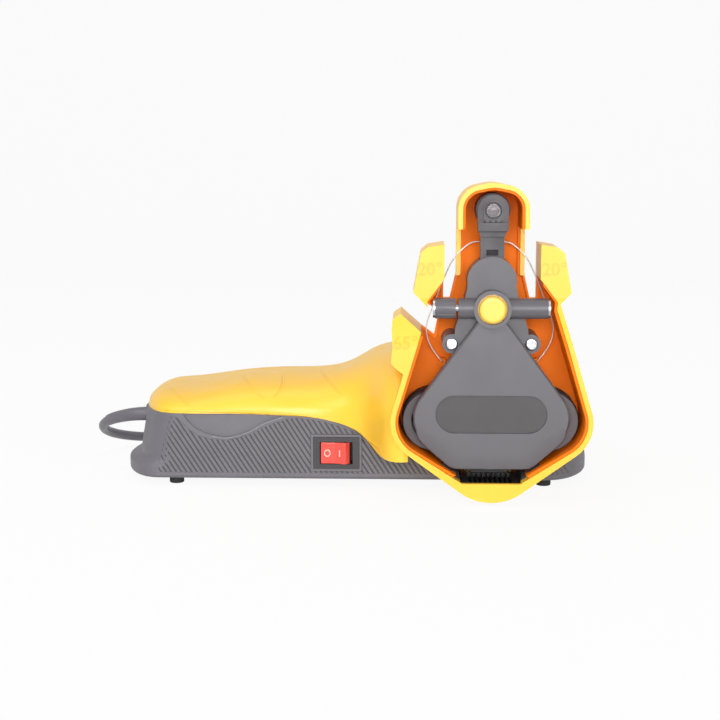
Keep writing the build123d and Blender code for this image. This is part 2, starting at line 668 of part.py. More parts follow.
def make_motor_gear():
    outline = gear_outline(MOTOR_TEETH, 0, MOTOR_Z, 90)
    gear = head_slab(outline - disc(0, MOTOR_Z, MOTOR_SHAFT_R), WHEEL_BACK, GEAR_BACK)
    spokes = Sketch()
    for index in range(6):
        angle = radians(60 * index + 30)
        spokes += disc(10 * cos(angle), MOTOR_Z + 10 * sin(angle), 2.8)
    gear -= head_slab(spokes, WHEEL_BACK - 1, GEAR_BACK + 1)
    return gear


def make_wheel_gear(side):
    direction = degrees(atan2(WHEEL_Z - MOTOR_Z, side * WHEEL_SPREAD))
    x = side * WHEEL_SPREAD
    outline = gear_outline(WHEEL_TEETH, x, WHEEL_Z, wheel_phase(direction))
    return head_slab(outline - disc(x, WHEEL_Z, BUSH_R), WHEEL_BACK, GEAR_BACK)


# ---------------------------------------------------------------- wheels
def make_wheel_hub(side):
    x = side * WHEEL_SPREAD
    rim_r = WHEEL_R - TYRE
    hub = head_slab(ring(x, WHEEL_Z, rim_r, rim_r - 1.8), WHEEL_FRONT, WHEEL_BACK)
    hub += head_slab(ring(x, WHEEL_Z, HUB_R, BUSH_R), WHEEL_FRONT, WHEEL_BACK)
    hub += head_slab(ring(x, WHEEL_Z, FLANGE_R, FLANGE_R - 3.6), WHEEL_FRONT - 1.0, WHEEL_FRONT + 1.0)
    web = ring(x, WHEEL_Z, rim_r - 1.0, HUB_R - 0.5)
    windows = Sketch()
    for index in range(6):
        angle = radians(60 * index)
        windows += disc(x + 8 * cos(angle), WHEEL_Z + 8 * sin(angle), 1.9)
    hub += head_slab(web - windows, WHEEL_FRONT + 5, WHEEL_FRONT + 7.5)
    return hub


def make_tyre(side):
    x = side * WHEEL_SPREAD
    tyre = head_slab(ring(x, WHEEL_Z, WHEEL_R, WHEEL_R - TYRE), WHEEL_FRONT + 1.0, WHEEL_BACK)
    outer = tyre.edges().filter_by(GeomType.CIRCLE).filter_by(lambda e: e.radius > WHEEL_R - 0.1)
    return fillet(outer, 0.7)


def make_bush(side):
    x = side * WHEEL_SPREAD
    return head_slab(ring(x, WHEEL_Z, BUSH_R, AXLE_R + RUNNING), WHEEL_FRONT - 0.4, GEAR_BACK + 0.3)


def make_axle(side):
    x = side * WHEEL_SPREAD
    pin = head_slab(disc(x, WHEEL_Z, AXLE_R), COVER_FRONT + COVER_PLATE + 0.3, PAN_BACK + 0.5)
    return pin


# ---------------------------------------------------------------- belt frame
def plate_outline(inset=0.0):
    side = [(FRAME_TOP_R - 2.2, 104.4), (11.6, 91.3), (15.9, 77.2), (17.4, 66.0 + 2 * inset)]
    side = [(x - inset, z - inset / 2) for x, z in side]
    return poly(*mirrored(side)) + disc(0, FRAME_TOP_Z, FRAME_TOP_R - inset)


def make_belt_frame():
    outline = plate_outline() + holes(LEGS, LEG_R)
    frame = head_slab(outline, FRAME_FRONT, FRAME_FRONT + 3.0)
    walls = plate_outline() - plate_outline(1.8)
    frame += head_slab(walls, FRAME_FRONT, FRAME_BACK)
    frame += head_slab(holes(LEGS, LEG_R), FRAME_FRONT, PAN_FLOOR)
    # channel that the tension arm slides in
    side = ARM_HALF + SLIDING
    rails = rect(-side - 1.8, 76, side + 1.8, 106)
    frame += head_slab(rails, FRAME_FRONT + 3.0, ARM_BACK + 1.8)
    frame -= head_slab(rect(-side, SPRING_LOW_Z, side, 120), ARM_FRONT - SLIDING, ARM_BACK + SLIDING)
    frame -= head_slab(holes(LEGS, SCREW_R), FRAME_FRONT - 1, PAN_FLOOR + 1)
    frame -= head_slab(disc(0, BARREL_Z, 2.2), FRAME_FRONT - 1, FRAME_FRONT + 1.6)
    return frame


ARM_FRONT = FRAME_FRONT + 2.2
ARM_BACK = ARM_FRONT + 5.0
SPRING_LOW_Z = 78.0
STEM_LOW_Z = 92.0


def make_tension_arm():
    head = disc(0, IDLER_Z, ARM_HEAD_R) + rect(-ARM_HEAD_R, IDLER_Z - 6, ARM_HEAD_R, IDLER_Z)
    arm = head_slab(head, ARM_FRONT - 4.6, ARM_FRONT - 0.9)
    # flat boss with a rounded top round the axle
    boss = disc(0, IDLER_Z, 4.3) + rect(-4.3, IDLER_Z - 5, 4.3, IDLER_Z)
    arm += head_slab(boss, ARM_FRONT - 5.8, ARM_FRONT - 4)
    arm += head_slab(rect(-6.6, 120.2, 6.6, 123.8), ARM_FRONT - 6.2, ARM_FRONT - 0.9)
    shoulder = poly((-6.6, 120.9), (6.6, 120.9), (ARM_HALF, 117.6), (-ARM_HALF, 117.6))
    arm += head_slab(shoulder, ARM_FRONT - 2.5, ARM_BACK)
    arm += head_slab(rect(-ARM_HALF, STEM_LOW_Z, ARM_HALF, 120.9), ARM_FRONT, ARM_BACK)
    arm -= head_slab(rect(-2.6, 109.2, 2.6, 111.8), ARM_FRONT - 1, ARM_BACK + 1)
    arm -= head_slab(disc(0, IDLER_Z, IDLER_AXLE_R), ARM_FRONT - 9, ARM_BACK + 1)
    spring_seat = head_slab(rect(-2, STEM_LOW_Z - 1, 2, STEM_LOW_Z + 4), ARM_FRONT + 1, ARM_BACK - 1)
    return arm - spring_seat


IDLER_AXLE_R = 1.5
IDLER_FRONT = ARM_FRONT - 0.5


def make_idler_pulley():
    back = IDLER_FRONT + IDLER_WIDTH
    middle = (IDLER_FRONT + back) / 2
    pulley = head_slab(ring(0, IDLER_Z, IDLER_R, IDLER_AXLE_R + 1.2), IDLER_FRONT, back)
    pulley -= head_slab(ring(0, IDLER_Z, IDLER_R - 1.5, 4.0), middle + 1, back + 1)
    rims = pulley.edges().filter_by(GeomType.CIRCLE).filter_by(lambda e: e.radius > IDLER_R - 0.1)
    return fillet(rims, 0.6)


def make_idler_bush():
    back = IDLER_FRONT + IDLER_WIDTH
    return head_slab(ring(0, IDLER_Z, IDLER_AXLE_R + 1.2, IDLER_AXLE_R + RUNNING), IDLER_FRONT, back)


def make_idler_axle():
    back = IDLER_FRONT + IDLER_WIDTH + 0.4
    axle = head_slab(disc(0, IDLER_Z, IDLER_AXLE_R), ARM_FRONT - 6.4, back)
    axle += head_slab(disc(0, IDLER_Z, 2.6), back, back + 0.8)
    axle += head_slab(disc(0, IDLER_Z, 2.8), ARM_FRONT - 6.6, ARM_FRONT - 5.8)
    return axle


def coil_spring(centre, direction, length, radius, turns, wire):
    """Round-wire compression spring between two faces."""
    helix = Helix(pitch=(length - 2 * wire) / turns, height=length - 2 * wire, radius=radius)
    path = Pos(0, 0, wire) * helix
    start = path @ 0
    spring = sweep(Plane(origin=start, z_dir=path % 0) * Circle(wire), path=path, is_frenet=True)
    return Plane(origin=centre, z_dir=direction) * spring


def make_arm_spring():
    centre = (HEAD_X, (ARM_FRONT + ARM_BACK) / 2, SPRING_LOW_Z)
    return coil_spring(centre, (0, 0, 1), STEM_LOW_Z - SPRING_LOW_Z, 1.9, 6, 0.35)


# ---------------------------------------------------------------- cross barrel and button
BARREL_LEFT = -14.8
BARREL_FREE = 14.3           # beyond this the barrel stands clear of the frame and is fully round
BARREL_RIGHT = 24.2
KNOB_LEFT = -24.8
KNOB_RIGHT = -15.9
CROSS_AXLE_R = 1.6
AXLE_END = 0.9


def rod(x0, x1, radius):
    """Round bar along x in the line of the cross barrel."""
    low = (Align.CENTER, Align.CENTER, Align.MIN)
    return Pos(HEAD_X + x0, BARREL_Y, BARREL_Z) * Rot(0, 90, 0) * Cylinder(radius, x1 - x0, align=low)


def make_cross_barrel():
    barrel = rod(BARREL_LEFT, BARREL_RIGHT, BARREL_R)
    barrel += head_slab(disc(0, BARREL_Z, BOSS_R), BOSS_FRONT, FRAME_FRONT)
    keep = box(HEAD_X - 40, Y_RIM, BARREL_Z - 20, HEAD_X + 40, FRAME_FRONT, BARREL_Z + 20)
    sides = rod(BARREL_LEFT, -BARREL_FREE, BARREL_R) + rod(BARREL_FREE, BARREL_RIGHT, BARREL_R)
    barrel = (barrel & keep) + sides
    barrel -= rod(BARREL_LEFT - 1, BARREL_RIGHT + 1, CROSS_AXLE_R)
    barrel -= head_slab(disc(0, BARREL_Z, BUTTON_BORE), BOSS_FRONT - 1, BUTTON_SEAT)
    return barrel


BUTTON_SEAT = FRAME_FRONT - 0.9
BUTTON_LENGTH = 5.2


def make_button():
    back = BUTTON_FRONT + BUTTON_LENGTH
    button = head_slab(disc(0, BARREL_Z, BUTTON_R), BUTTON_FRONT, back)
    front = button.edges().filter_by(GeomType.CIRCLE).sort_by(Axis.Y)[0]
    button = fillet(front, 1.2)
    button += head_slab(disc(0, BARREL_Z, BUTTON_BORE - 0.06), back - 1.2, back)
    return button


def make_button_spring():
    back = BUTTON_FRONT + BUTTON_LENGTH
    centre = (HEAD_X, BUTTON_SEAT, BARREL_Z)
    return coil_spring(centre, (0, -1, 0), BUTTON_SEAT - back, 4.2, 2.2, 0.3)


def make_knob():
    knob = rod(KNOB_LEFT, KNOB_RIGHT, BARREL_R) - rod(KNOB_LEFT - 1, KNOB_RIGHT + 1, CROSS_AXLE_R + RUNNING)
    grooves = Part()
    for index in range(12):
        angle = radians(30 * index)
        groove = Pos(0, (BARREL_R + 0.25) * cos(angle), (BARREL_R + 0.25) * sin(angle)) * rod(
            KNOB_LEFT + 1.2, KNOB_RIGHT - 1.2, 0.45
        )
        grooves += groove
    return knob - grooves


def make_cross_axle():
    axle = rod(KNOB_LEFT - 0.1, -BUTTON_BORE - 1.5, CROSS_AXLE_R)
    axle += rod(BUTTON_BORE + 1.5, BARREL_RIGHT, CROSS_AXLE_R)
    axle += rod(KNOB_LEFT - 0.1 - AXLE_END, KNOB_LEFT - 0.1, BARREL_R - 0.3)
    axle += rod(BARREL_RIGHT, BARREL_RIGHT + AXLE_END, BARREL_R - 0.3)
    return axle


# ---------------------------------------------------------------- cover
def cover_outline(inset=0.0):
    return belt_round(
        (0, COVER_SWEEP_Z, COVER_SWEEP_R - inset), (COVER_CORNER_X, COVER_CORNER_Z, COVER_CORNER_R - inset),
        (0, BARREL_Z - 0.8, COVER_TIP_R - inset), (-COVER_CORNER_X, COVER_CORNER_Z, COVER_CORNER_R - inset),
    )


def pill(length, height, z):
    return Pos(0, z) * SlotOverall(length, height)


def make_cover():
    outline = cover_outline()
    plate = head_slab(outline, COVER_FRONT, FRAME_FRONT)
    front = plate.edges().sort_by(Axis.Y).group_by(Axis.Y)[0]
    plate = chamfer(front, 0.7)
    plate -= head_slab(cover_outline(COVER_WALL), COVER_FRONT + COVER_PLATE, FRAME_FRONT + 1)
    sockets = holes(AXLES, AXLE_R + 1.8)
    plate += head_slab(sockets, COVER_FRONT + 1, WHEEL_FRONT - 1.2)
    plate -= head_slab(holes(AXLES, AXLE_R), COVER_FRONT + COVER_PLATE, FRAME_FRONT + 9)
    plate -= head_slab(disc(0, BARREL_Z, BOSS_R + 0.05), COVER_FRONT - 1, FRAME_FRONT + 1)
    plate -= head_slab(pill(PILL_LENGTH, PILL_HEIGHT, PILL_Z), COVER_FRONT - 1, COVER_FRONT + PILL_DEPTH)
    return plate


def make_badge():
    face = pill(PILL_LENGTH - 0.2, PILL_HEIGHT - 0.2, PILL_Z)
    return head_slab(face, COVER_FRONT + PILL_DEPTH - 0.5, COVER_FRONT + PILL_DEPTH)


def make_frame_screws():
    screws = []
    for x, z in LEGS:
        head = head_slab(disc(x, z, SCREW_HEAD_R - 0.2), FRAME_FRONT - 2.2, FRAME_FRONT)
        rim = head.edges().filter_by(GeomType.CIRCLE).sort_by(Axis.Y)[0]
        head = fillet(rim, 0.8)
        cross = rect(x - 0.4, z - 1.5, x + 0.4, z + 1.5) + rect(x - 1.5, z - 0.4, x + 1.5, z + 0.4)
        head -= head_slab(cross, FRAME_FRONT - 3, FRAME_FRONT - 1.2)
        screws.append(head + head_slab(disc(x, z, SCREW_R), FRAME_FRONT, PAN_BACK - 0.2))
    return Compound(screws)


# ---------------------------------------------------------------- motor
MOTOR_BACK = MOTOR_FACE + MOTOR_LENGTH
CAN_WALL = 1.2
CAP_DEPTH = 7.0


def make_motor_can():
    can = head_slab(disc(0, MOTOR_Z, MOTOR_R), MOTOR_FACE, MOTOR_BACK - CAP_DEPTH)
    can += head_slab(disc(0, MOTOR_Z, MOTOR_NOSE_R), PAN_FLOOR, MOTOR_FACE)
    can -= head_slab(disc(0, MOTOR_Z, MOTOR_R - CAN_WALL), MOTOR_FACE + CAN_WALL, MOTOR_BACK)
    can -= head_slab(disc(0, MOTOR_Z, MOTOR_SHAFT_R + RUNNING), PAN_FLOOR - 1, MOTOR_FACE + 5)
    can -= head_slab(holes(MOTOR_SCREWS, SCREW_R), MOTOR_FACE - 1, MOTOR_FACE + 5)
    return can


def make_motor_cap():
    cap = head_slab(disc(0, MOTOR_Z, MOTOR_R), MOTOR_BACK - CAP_DEPTH, MOTOR_BACK)
    cap += head_slab(disc(0, MOTOR_Z, 6.0), MOTOR_BACK, MOTOR_BACK + 2.5)
    cap -= head_slab(disc(0, MOTOR_Z, MOTOR_R - 3), MOTOR_BACK - CAP_DEPTH, MOTOR_BACK - 2)
    cap -= head_slab(disc(0, MOTOR_Z, MOTOR_SHAFT_R + RUNNING), MOTOR_BACK - 3, MOTOR_BACK + 1.5)
    return cap


def make_magnets():
    tube = ring(0, MOTOR_Z, MOTOR_R - CAN_WALL, MOTOR_R - CAN_WALL - 3.0)
    arcs = tube - rect(-3.5, MOTOR_Z - 30, 3.5, MOTOR_Z + 30)
    return head_slab(arcs, MOTOR_FACE + 10, MOTOR_FACE + 40)


def make_rotor():
    rotor = head_slab(disc(0, MOTOR_Z, MOTOR_SHAFT_R), WHEEL_BACK - 0.6, MOTOR_BACK + 1.0)
    core = disc(0, MOTOR_Z, 12.8)
    slots = Sketch()
    for index in range(5):
        slots += Pos(0, MOTOR_Z) * Rot(0, 0, 72 * index) * rect(8.0, -0.9, 14, 0.9)
        slots += Pos(0, MOTOR_Z) * Rot(0, 0, 72 * index) * disc(8.0, 0, 2.2)
    rotor += head_slab(core - slots, MOTOR_FACE + 14, MOTOR_FACE + 36)
    rotor += head_slab(disc(0, MOTOR_Z, 4.5), MOTOR_FACE + 40, MOTOR_FACE + 48)
    return rotor


def make_bracket():
    plate = disc(0, MOTOR_Z, MOTOR_NOSE_R + 1.2) + rect(-19, MOTOR_Z - 5, 19, MOTOR_Z + 5)
    plate &= rect(-30, SEAM_LOW_Z + 0.5, 30, 60)
    bracket = head_slab(plate, MOTOR_FACE - BRACKET, MOTOR_FACE)
    bracket -= head_slab(disc(0, MOTOR_Z, MOTOR_NOSE_R + 0.1), Y_FRONT, MOTOR_FACE)
    bracket -= head_slab(holes(MOTOR_SCREWS, SCREW_R + 0.1), Y_FRONT, MOTOR_FACE)
    return bracket


def make_motor_screws():
    screws = []
    for x, z in MOTOR_SCREWS:
        screw = head_slab(disc(x, z, SCREW_HEAD_R - 0.3), PAN_FLOOR - 1.7, PAN_FLOOR)
        screws.append(screw + head_slab(disc(x, z, SCREW_R), PAN_FLOOR, MOTOR_FACE + 3))
    return Compound(screws)


# ---------------------------------------------------------------- switch
PIVOT_Y = Y_FRONT + 1.6
PIN_R = 1.2
CHAMBER_HALF = ROCKER_HALF + 1.0


def switch_rect(half_width, half_height):
    return rect(
        SWITCH_X - half_width, SWITCH_Z - half_height, SWITCH_X + half_width, SWITCH_Z + half_height
    )


def make_switch_body():
    flange = switch_rect(BEZEL_W / 2, BEZEL_H / 2)
    body = slab(flange, Y_FRONT - BEZEL_T, Y_FRONT)
    shaft = switch_rect(9.3, 6.0)
    body += slab(shaft, Y_FRONT - 0.5, Y_FRONT + 15)
    chamber = switch_rect(CHAMBER_HALF, ROCKER_H / 2 + 0.2)
    body -= slab(chamber, Y_FRONT - 3, Y_FRONT + 9)
    pins = Pos(SWITCH_X, PIVOT_Y, SWITCH_Z) * Cylinder(PIN_R + RUNNING, ROCKER_H + 1.6)
    body -= pins
    for x in (-5.0, 0.0, 5.0):
        tab = Pos(x, 0, 0) * switch_rect(0.4, 2.4)
        body += slab(tab, Y_FRONT + 15, Y_FRONT + 22)
    return body


def make_rocker():
    rise = ROCKER_HALF * tan(radians(ROCKER_TILT))
    face = -3.1
    outline = Polygon(
        (0, face), (ROCKER_HALF, face - rise), (ROCKER_HALF - 0.4, 1.0), (3.0, 5.0), (-3.0, 5.0),
        (-ROCKER_HALF + 0.4, 1.0), (-ROCKER_HALF, face - rise), align=None,
    )
    rocker = extrude(outline, ROCKER_H / 2, both=True)
    rocker += Cylinder(PIN_R, ROCKER_H + 1.4)
    return Pos(SWITCH_X, PIVOT_Y, SWITCH_Z) * Rot(0, 0, -ROCKER_TILT) * rocker


# ---------------------------------------------------------------- small pieces of the body
def make_feet():
    feet = []
    for x, y in FEET:
        foot = post(x, y, 0, FOOT_HEIGHT, FOOT_R)
        foot = fillet(foot.edges().sort_by(Axis.Z)[0], 0.6)
        foot += post(x, y, FOOT_HEIGHT, FOOT_HEIGHT + FLOOR, FOOT_PEG_R)
        foot += post(x, y, FOOT_HEIGHT + FLOOR, FOOT_HEIGHT + FLOOR + 1.2, FOOT_PEG_R + 0.6)
        feet.append(foot)
    return Compound(feet)


def make_base_screws():
    screws = []
    for x, y in BASE_SCREWS:
        top = FOOT_HEIGHT + 6.0
        screw = post(x, y, top - 2.0, top, SCREW_HEAD_R)
        screw += post(x, y, top, seam_height(x) + 6.0, SCREW_R)
        screw -= box(x - 1.6, y - 0.4, 0, x + 1.6, y + 0.4, top - 1.0)
        screws.append(screw)
    return Compound(screws)


BOARD_X = (-44.0, -24.0)
BOARD_Z = FOOT_HEIGHT + FLOOR + 4.0


def make_board():
    board = box(BOARD_X[0], Y_MID - 22, BOARD_Z, BOARD_X[1], Y_MID + 22, BOARD_Z + 1.6)
    for y in (-16, -8, 0, 8):
        board += Pos(-38, Y_MID + y, BOARD_Z + 1.6 + 2.5) * Box(3, 5, 5)
    board += post(-30, Y_MID - 12, BOARD_Z + 1.6, BOARD_Z + 15, 5.0)
    for x in (-42, -26):
        for y in (-20, 20):
            board += post(x, Y_MID + y, FOOT_HEIGHT + FLOOR, BOARD_Z, 1.6)
    return board


def make_clamp():
    x = GLAND_X + 20
    clamp = box(x, Y_MID - 9, CORD_Z + CORD_D / 2, x + 8, Y_MID + 9, CORD_Z + CORD_D / 2 + 2.5)
    stand = box(x, Y_MID - 9, FOOT_HEIGHT + FLOOR, x + 8, Y_MID + 9, CORD_Z + CORD_D / 2)
    stand -= lying(x - 1, x + 9, CORD_D / 2)
    return clamp + stand


# ---------------------------------------------------------------- cord
CORD_START = (GLAND_X + GLAND_LENGTH, Y_MID, CORD_Z)
ROUTE = [
    CORD_START,
    (-109.6, 18.5, 27.0),
    (-123.0, 25.6, 23.2),
    (-130.1, 37.1, 17.3),
    (-130.1, 59.9, 9.4),
    (-118.5, 75.5, 4.4),
    (-97.5, 87.5, 2.4),
    (-69.5, 92.2, 2.4),
    (-39.8, 83.8, 2.4),
]


def route_radii(points):
    """Arc radius at each inner corner: 0.45 of the shorter run over the tangent of half the turn."""
    radii = []
    for a, b, c in zip(points, points[1:], points[2:]):
        first = Vector(*b) - Vector(*a)
        second = Vector(*c) - Vector(*b)
        turn = radians(first.get_angle(second))
        radii.append(0.45 * min(first.length, second.length) / tan(turn / 2))
    return radii


def cord_path():
    return FilletPolyline(*ROUTE, radius=route_radii(ROUTE))


def cord_tube():
    """The cord from the gland to the coil, before it is cut to meet the coil."""
    path = cord_path()
    return sweep(Plane(origin=path @ 0, z_dir=path % 0) * Circle(CORD_D / 2), path=path)


def make_cord():
    return cord_tube() - post(*COIL_CENTRE, -1, CORD_D + 1, COIL_OUT)


def make_gland():
    """Grommet in the left end, with a tapered relief that the cord bends in."""
    outside = GLAND_X - GLAND_OUT
    gland = lying(outside, CORD_START[0], GLAND_R)
    gland += lying(outside, GLAND_X, GLAND_FLANGE_R)
    path = cord_path()
    reach = CORD_START[0] - outside - 0.2
    places = [(reach + CORD_RELIEF * step / 5) / path.length for step in range(6)]
    spine = Spline([path @ place for place in places], tangents=[path % places[0], path % places[-1]])
    wide = Plane(origin=spine @ 0, z_dir=spine % 0) * Circle(RELIEF_R)
    narrow = Plane(origin=spine @ 1, z_dir=spine % 1) * Circle(CORD_D / 2 + RELIEF_WALL)
    gland += sweep([wide, narrow], path=spine, multisection=True)
    return gland - cord_tube()


def make_coil():
    x, y = COIL_CENTRE
    return post(x, y, 0, COIL_HEIGHT, COIL_OUT) - post(x, y, -1, COIL_HEIGHT + 1, COIL_IN)


def make_tie():
    x, y = COIL_CENTRE
    band = box(x - 4, y + COIL_IN - 2.0, 0, x + 4, y + COIL_OUT + 1.5, COIL_HEIGHT + 1.5)
    return band - make_coil()


# the plug lies beside the coil, in line with the last turn
PLUG_Y = COIL_CENTRE[1] - COIL_OUT + CORD_D / 2
PLUG_Z = COIL_HEIGHT - CORD_D / 2
RELIEF_X = COIL_CENTRE[0] + 13.0
RELIEF_LENGTH = 20.0
PLUG_LENGTH = 22.0
PLUG_HALF = 11.5
PIN_LENGTH = 17.0


def make_plug():
    """Flat two-pin plug, its tapered end against the turns."""
    low = (Align.CENTER, Align.CENTER, Align.MIN)
    start = Plane(origin=(RELIEF_X, PLUG_Y, PLUG_Z), z_dir=(1, 0, 0))
    relief = start * Cone(3.0, 4.8, RELIEF_LENGTH, align=low)
    relief -= post(*COIL_CENTRE, -5, 40, COIL_OUT)
    x = RELIEF_X + RELIEF_LENGTH
    body = box(x, PLUG_Y - PLUG_HALF, 1.0, x + PLUG_LENGTH, PLUG_Y + PLUG_HALF, 2 * PLUG_Z - 1.0)
    body = fillet(body.edges().filter_by(Axis.X), 3.0)
    nose = body.faces().sort_by(Axis.X)[0]
    body = chamfer(nose.edges(), 1.6)
    return relief + body


def make_plug_pins():
    x = RELIEF_X + RELIEF_LENGTH + PLUG_LENGTH
    pins = []
    for y in (PLUG_Y - 6.35, PLUG_Y + 6.35):
        blade = box(x, y - 0.75, PLUG_Z - 3.2, x + PIN_LENGTH, y + 0.75, PLUG_Z + 3.2)
        blade = chamfer(blade.faces().sort_by(Axis.X)[-1].edges().filter_by(Axis.Y), 1.2)
        hole = Pos(x + PIN_LENGTH - 3.5, y, PLUG_Z) * Rot(90, 0, 0) * Cylinder(1.5, 4)
        pins.append(blade - hole)
    return Compound(pins)


def make_leads():
    """Two insulated wires from the switch to the motor, lying on the floor of the tub."""
    leads = []
    for lane, z in ((0.0, 1.4), (3.4, 1.4)):
        height = FOOT_HEIGHT + FLOOR + z
        points = [
            (SWITCH_X + 10 + lane, 6.0, height), (SWITCH_X + 14 + lane, 30.0 + lane, height),
            (HEAD_X - 22 + lane, 48.0 + lane, height), (HEAD_X - 4 + lane, 48.0 + lane, height),
        ]
        path = FilletPolyline(*points, radius=6)
        leads.append(sweep(Plane(origin=path @ 0, z_dir=path % 0) * Circle(1.1), path=path))
    return Compound(leads)


# ---------------------------------------------------------------- build
def build():
    nodes = {
        "base_tub": make_tub(),
        "grip_shell": make_grip_shell(),
        "head_shell": make_head_shell(),
        "head_liner": make_liner(),
        "dust_grille": make_grille(),
        "blade_spring_wire": make_blade_spring(),
        "belt_frame": make_belt_frame(),
        "frame_screws": make_frame_screws(),
        "cross_barrel": make_cross_barrel(),
        "cross_axle": make_cross_axle(),
        "tracking_knob": make_knob(),
        "release_button": make_button(),
        "button_spring": make_button_spring(),
        "drive_cover": make_cover(),
        "cover_badge": make_badge(),
        "tension_arm": make_tension_arm(),
        "arm_spring": make_arm_spring(),
        "idler_pulley": make_idler_pulley(),
        "idler_bush": make_idler_bush(),
        "idler_axle": make_idler_axle(),
        "motor_gear": make_motor_gear(),
        "motor_can": make_motor_can(),
        "motor_end_cap": make_motor_cap(),
        "motor_magnets": make_magnets(),
        "motor_rotor": make_rotor(),
        "motor_bracket": make_bracket(),
        "motor_screws": make_motor_screws(),
        "switch_body": make_switch_body(),
        "switch_rocker": make_rocker(),
        "rubber_feet": make_feet(),
        "base_screws": make_base_screws(),
        "power_board": make_board(),
        "motor_leads": make_leads(),
        "cord_gland": make_gland(),
        "cord_clamp": make_clamp(),
        "power_cord": make_cord(),
        "cord_coil": make_coil(),
        "cord_tie": make_tie(),
        "cord_plug": make_plug(),
        "plug_pins": make_plug_pins(),
    }
    for name, side in (("left", -1), ("right", 1)):
        nodes[name + "_wheel_hub"] = make_wheel_hub(side)
        nodes[name + "_tyre"] = make_tyre(side)
        nodes[name + "_wheel_bush"] = make_bush(side)
        nodes[name + "_wheel_gear"] = make_wheel_gear(side)
        nodes[name + "_wheel_axle"] = make_axle(side)
    return nodes


os.makedirs("parts", exist_ok=True)
for node, shape in build().items():
    export_step(shape, "parts/" + node + ".step")
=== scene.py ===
"""Electric knife sharpener: finishes and fine moulded detail for its pieces, and a studio stage."""
import math

import bmesh
import bpy
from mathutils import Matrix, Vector
from mathutils.bvhtree import BVHTree


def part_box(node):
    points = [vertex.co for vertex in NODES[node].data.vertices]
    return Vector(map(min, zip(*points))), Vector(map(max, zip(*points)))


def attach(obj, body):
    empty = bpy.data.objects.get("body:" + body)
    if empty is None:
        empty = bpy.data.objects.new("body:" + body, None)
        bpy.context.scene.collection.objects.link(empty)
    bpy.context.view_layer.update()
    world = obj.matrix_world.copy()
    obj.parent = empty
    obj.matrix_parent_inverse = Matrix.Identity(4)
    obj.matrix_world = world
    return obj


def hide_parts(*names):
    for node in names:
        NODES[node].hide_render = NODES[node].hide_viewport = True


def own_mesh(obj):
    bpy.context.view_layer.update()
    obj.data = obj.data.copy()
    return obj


bl_info = {
    "name": "Electric Knife Sharpener",
    "version": (1, 0, 0),
    "blender": (4, 5, 0),
    "location": "View3D > Sidebar > Sharpener",
    "description": "Finishes the pieces of an electric knife sharpener and builds its studio stage",
    "category": "Object",
}

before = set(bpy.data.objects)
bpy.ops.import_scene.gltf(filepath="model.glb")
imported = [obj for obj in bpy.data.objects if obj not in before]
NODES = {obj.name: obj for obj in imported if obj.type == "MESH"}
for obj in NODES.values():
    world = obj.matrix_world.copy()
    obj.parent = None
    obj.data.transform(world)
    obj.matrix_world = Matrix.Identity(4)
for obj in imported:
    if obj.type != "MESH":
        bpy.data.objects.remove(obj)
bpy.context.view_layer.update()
MM = 0.001
X, Y, Z = 0, 1, 2


def lowest(node, axis):
    """Lowest point of a CAD node along an axis, in mm to a hundredth."""
    return round(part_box(node)[0][axis] / MM, 2)


def highest(node, axis):
    """Highest point of a CAD node along an axis, in mm to a hundredth."""
    return round(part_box(node)[1][axis] / MM, 2)


def middle(node, axis):
    """Middle of a CAD node along an axis, in mm to a hundredth."""
    low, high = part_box(node)
    return round((low[axis] + high[axis]) / 2 / MM, 2)


# places that several pieces share, in mm
SWITCH_FRAME = 1.0                                   # rise of the frame round the switch
TUB_Y = lowest("base_tub", Y) + SWITCH_FRAME         # front wall of the tub
TUB_BACK = highest("base_tub", Y)
HEAD_X = middle("drive_cover", X)                    # axis of the head
HEAD_Y = lowest("head_shell", Y)                     # rim of the head
COVER_Y = lowest("drive_cover", Y)
ARM_Y = lowest("belt_frame", Y) + 2.2                # front of the arm's stem
ARM_BOSS_Y = ARM_Y - 5.8                             # front of the boss round the idler's axle
IDLER_Z = middle("idler_pulley", Z)
SWITCH_X = middle("switch_body", X)
SWITCH_Z = middle("switch_body", Z)


def srgb(red, green, blue):
    """Linear colour of a display colour given as 0 to 255."""
    def linear(value):
        value /= 255
        return value / 12.92 if value <= 0.04045 else ((value + 0.055) / 1.055) ** 2.4
    return (linear(red), linear(green), linear(blue))


def colour_property(name, description, rgb):
    """Colour that a user may change, with its default as a display colour."""
    return bpy.props.FloatVectorProperty(
        name=name, description=description, subtype="COLOR", size=3, min=0, max=1, default=srgb(*rgb))


def length_property(name, description, millimetres):
    """Length that a user may change, with its default in mm."""
    return bpy.props.FloatProperty(
        name=name, description=description, subtype="DISTANCE", unit="LENGTH", min=0,
        default=millimetres * MM)


class SharpenerColours(bpy.types.PropertyGroup):
    """Colours of the moulded pieces."""
    housing: colour_property("Housing", "Outside of the grip and the head", (255, 200, 56))
    lining: colour_property("Lining", "Inside of the head", (255, 126, 10))
    base: colour_property("Base", "Tub that the grip stands on", (104, 102, 108))
    drive: colour_property("Drive", "Cover, belt frame and cross barrel", (92, 90, 95))
    badge: colour_property("Badge", "Plate let into the cover", (66, 63, 65))
    arm: colour_property("Arm", "Belt tension arm", (66, 62, 68))
    wheel: colour_property("Wheel", "Hubs of the belt wheels and the idler", (88, 85, 90))
    button: colour_property("Button", "Belt release button", (255, 205, 75))
    rocker: colour_property("Rocker", "Switch rocker", (222, 74, 62))
    marking: colour_property("Marking", "Marks on the switch rocker", (250, 190, 182))
    cord: colour_property("Cord", "Mains cord and its plug", (98, 95, 102))


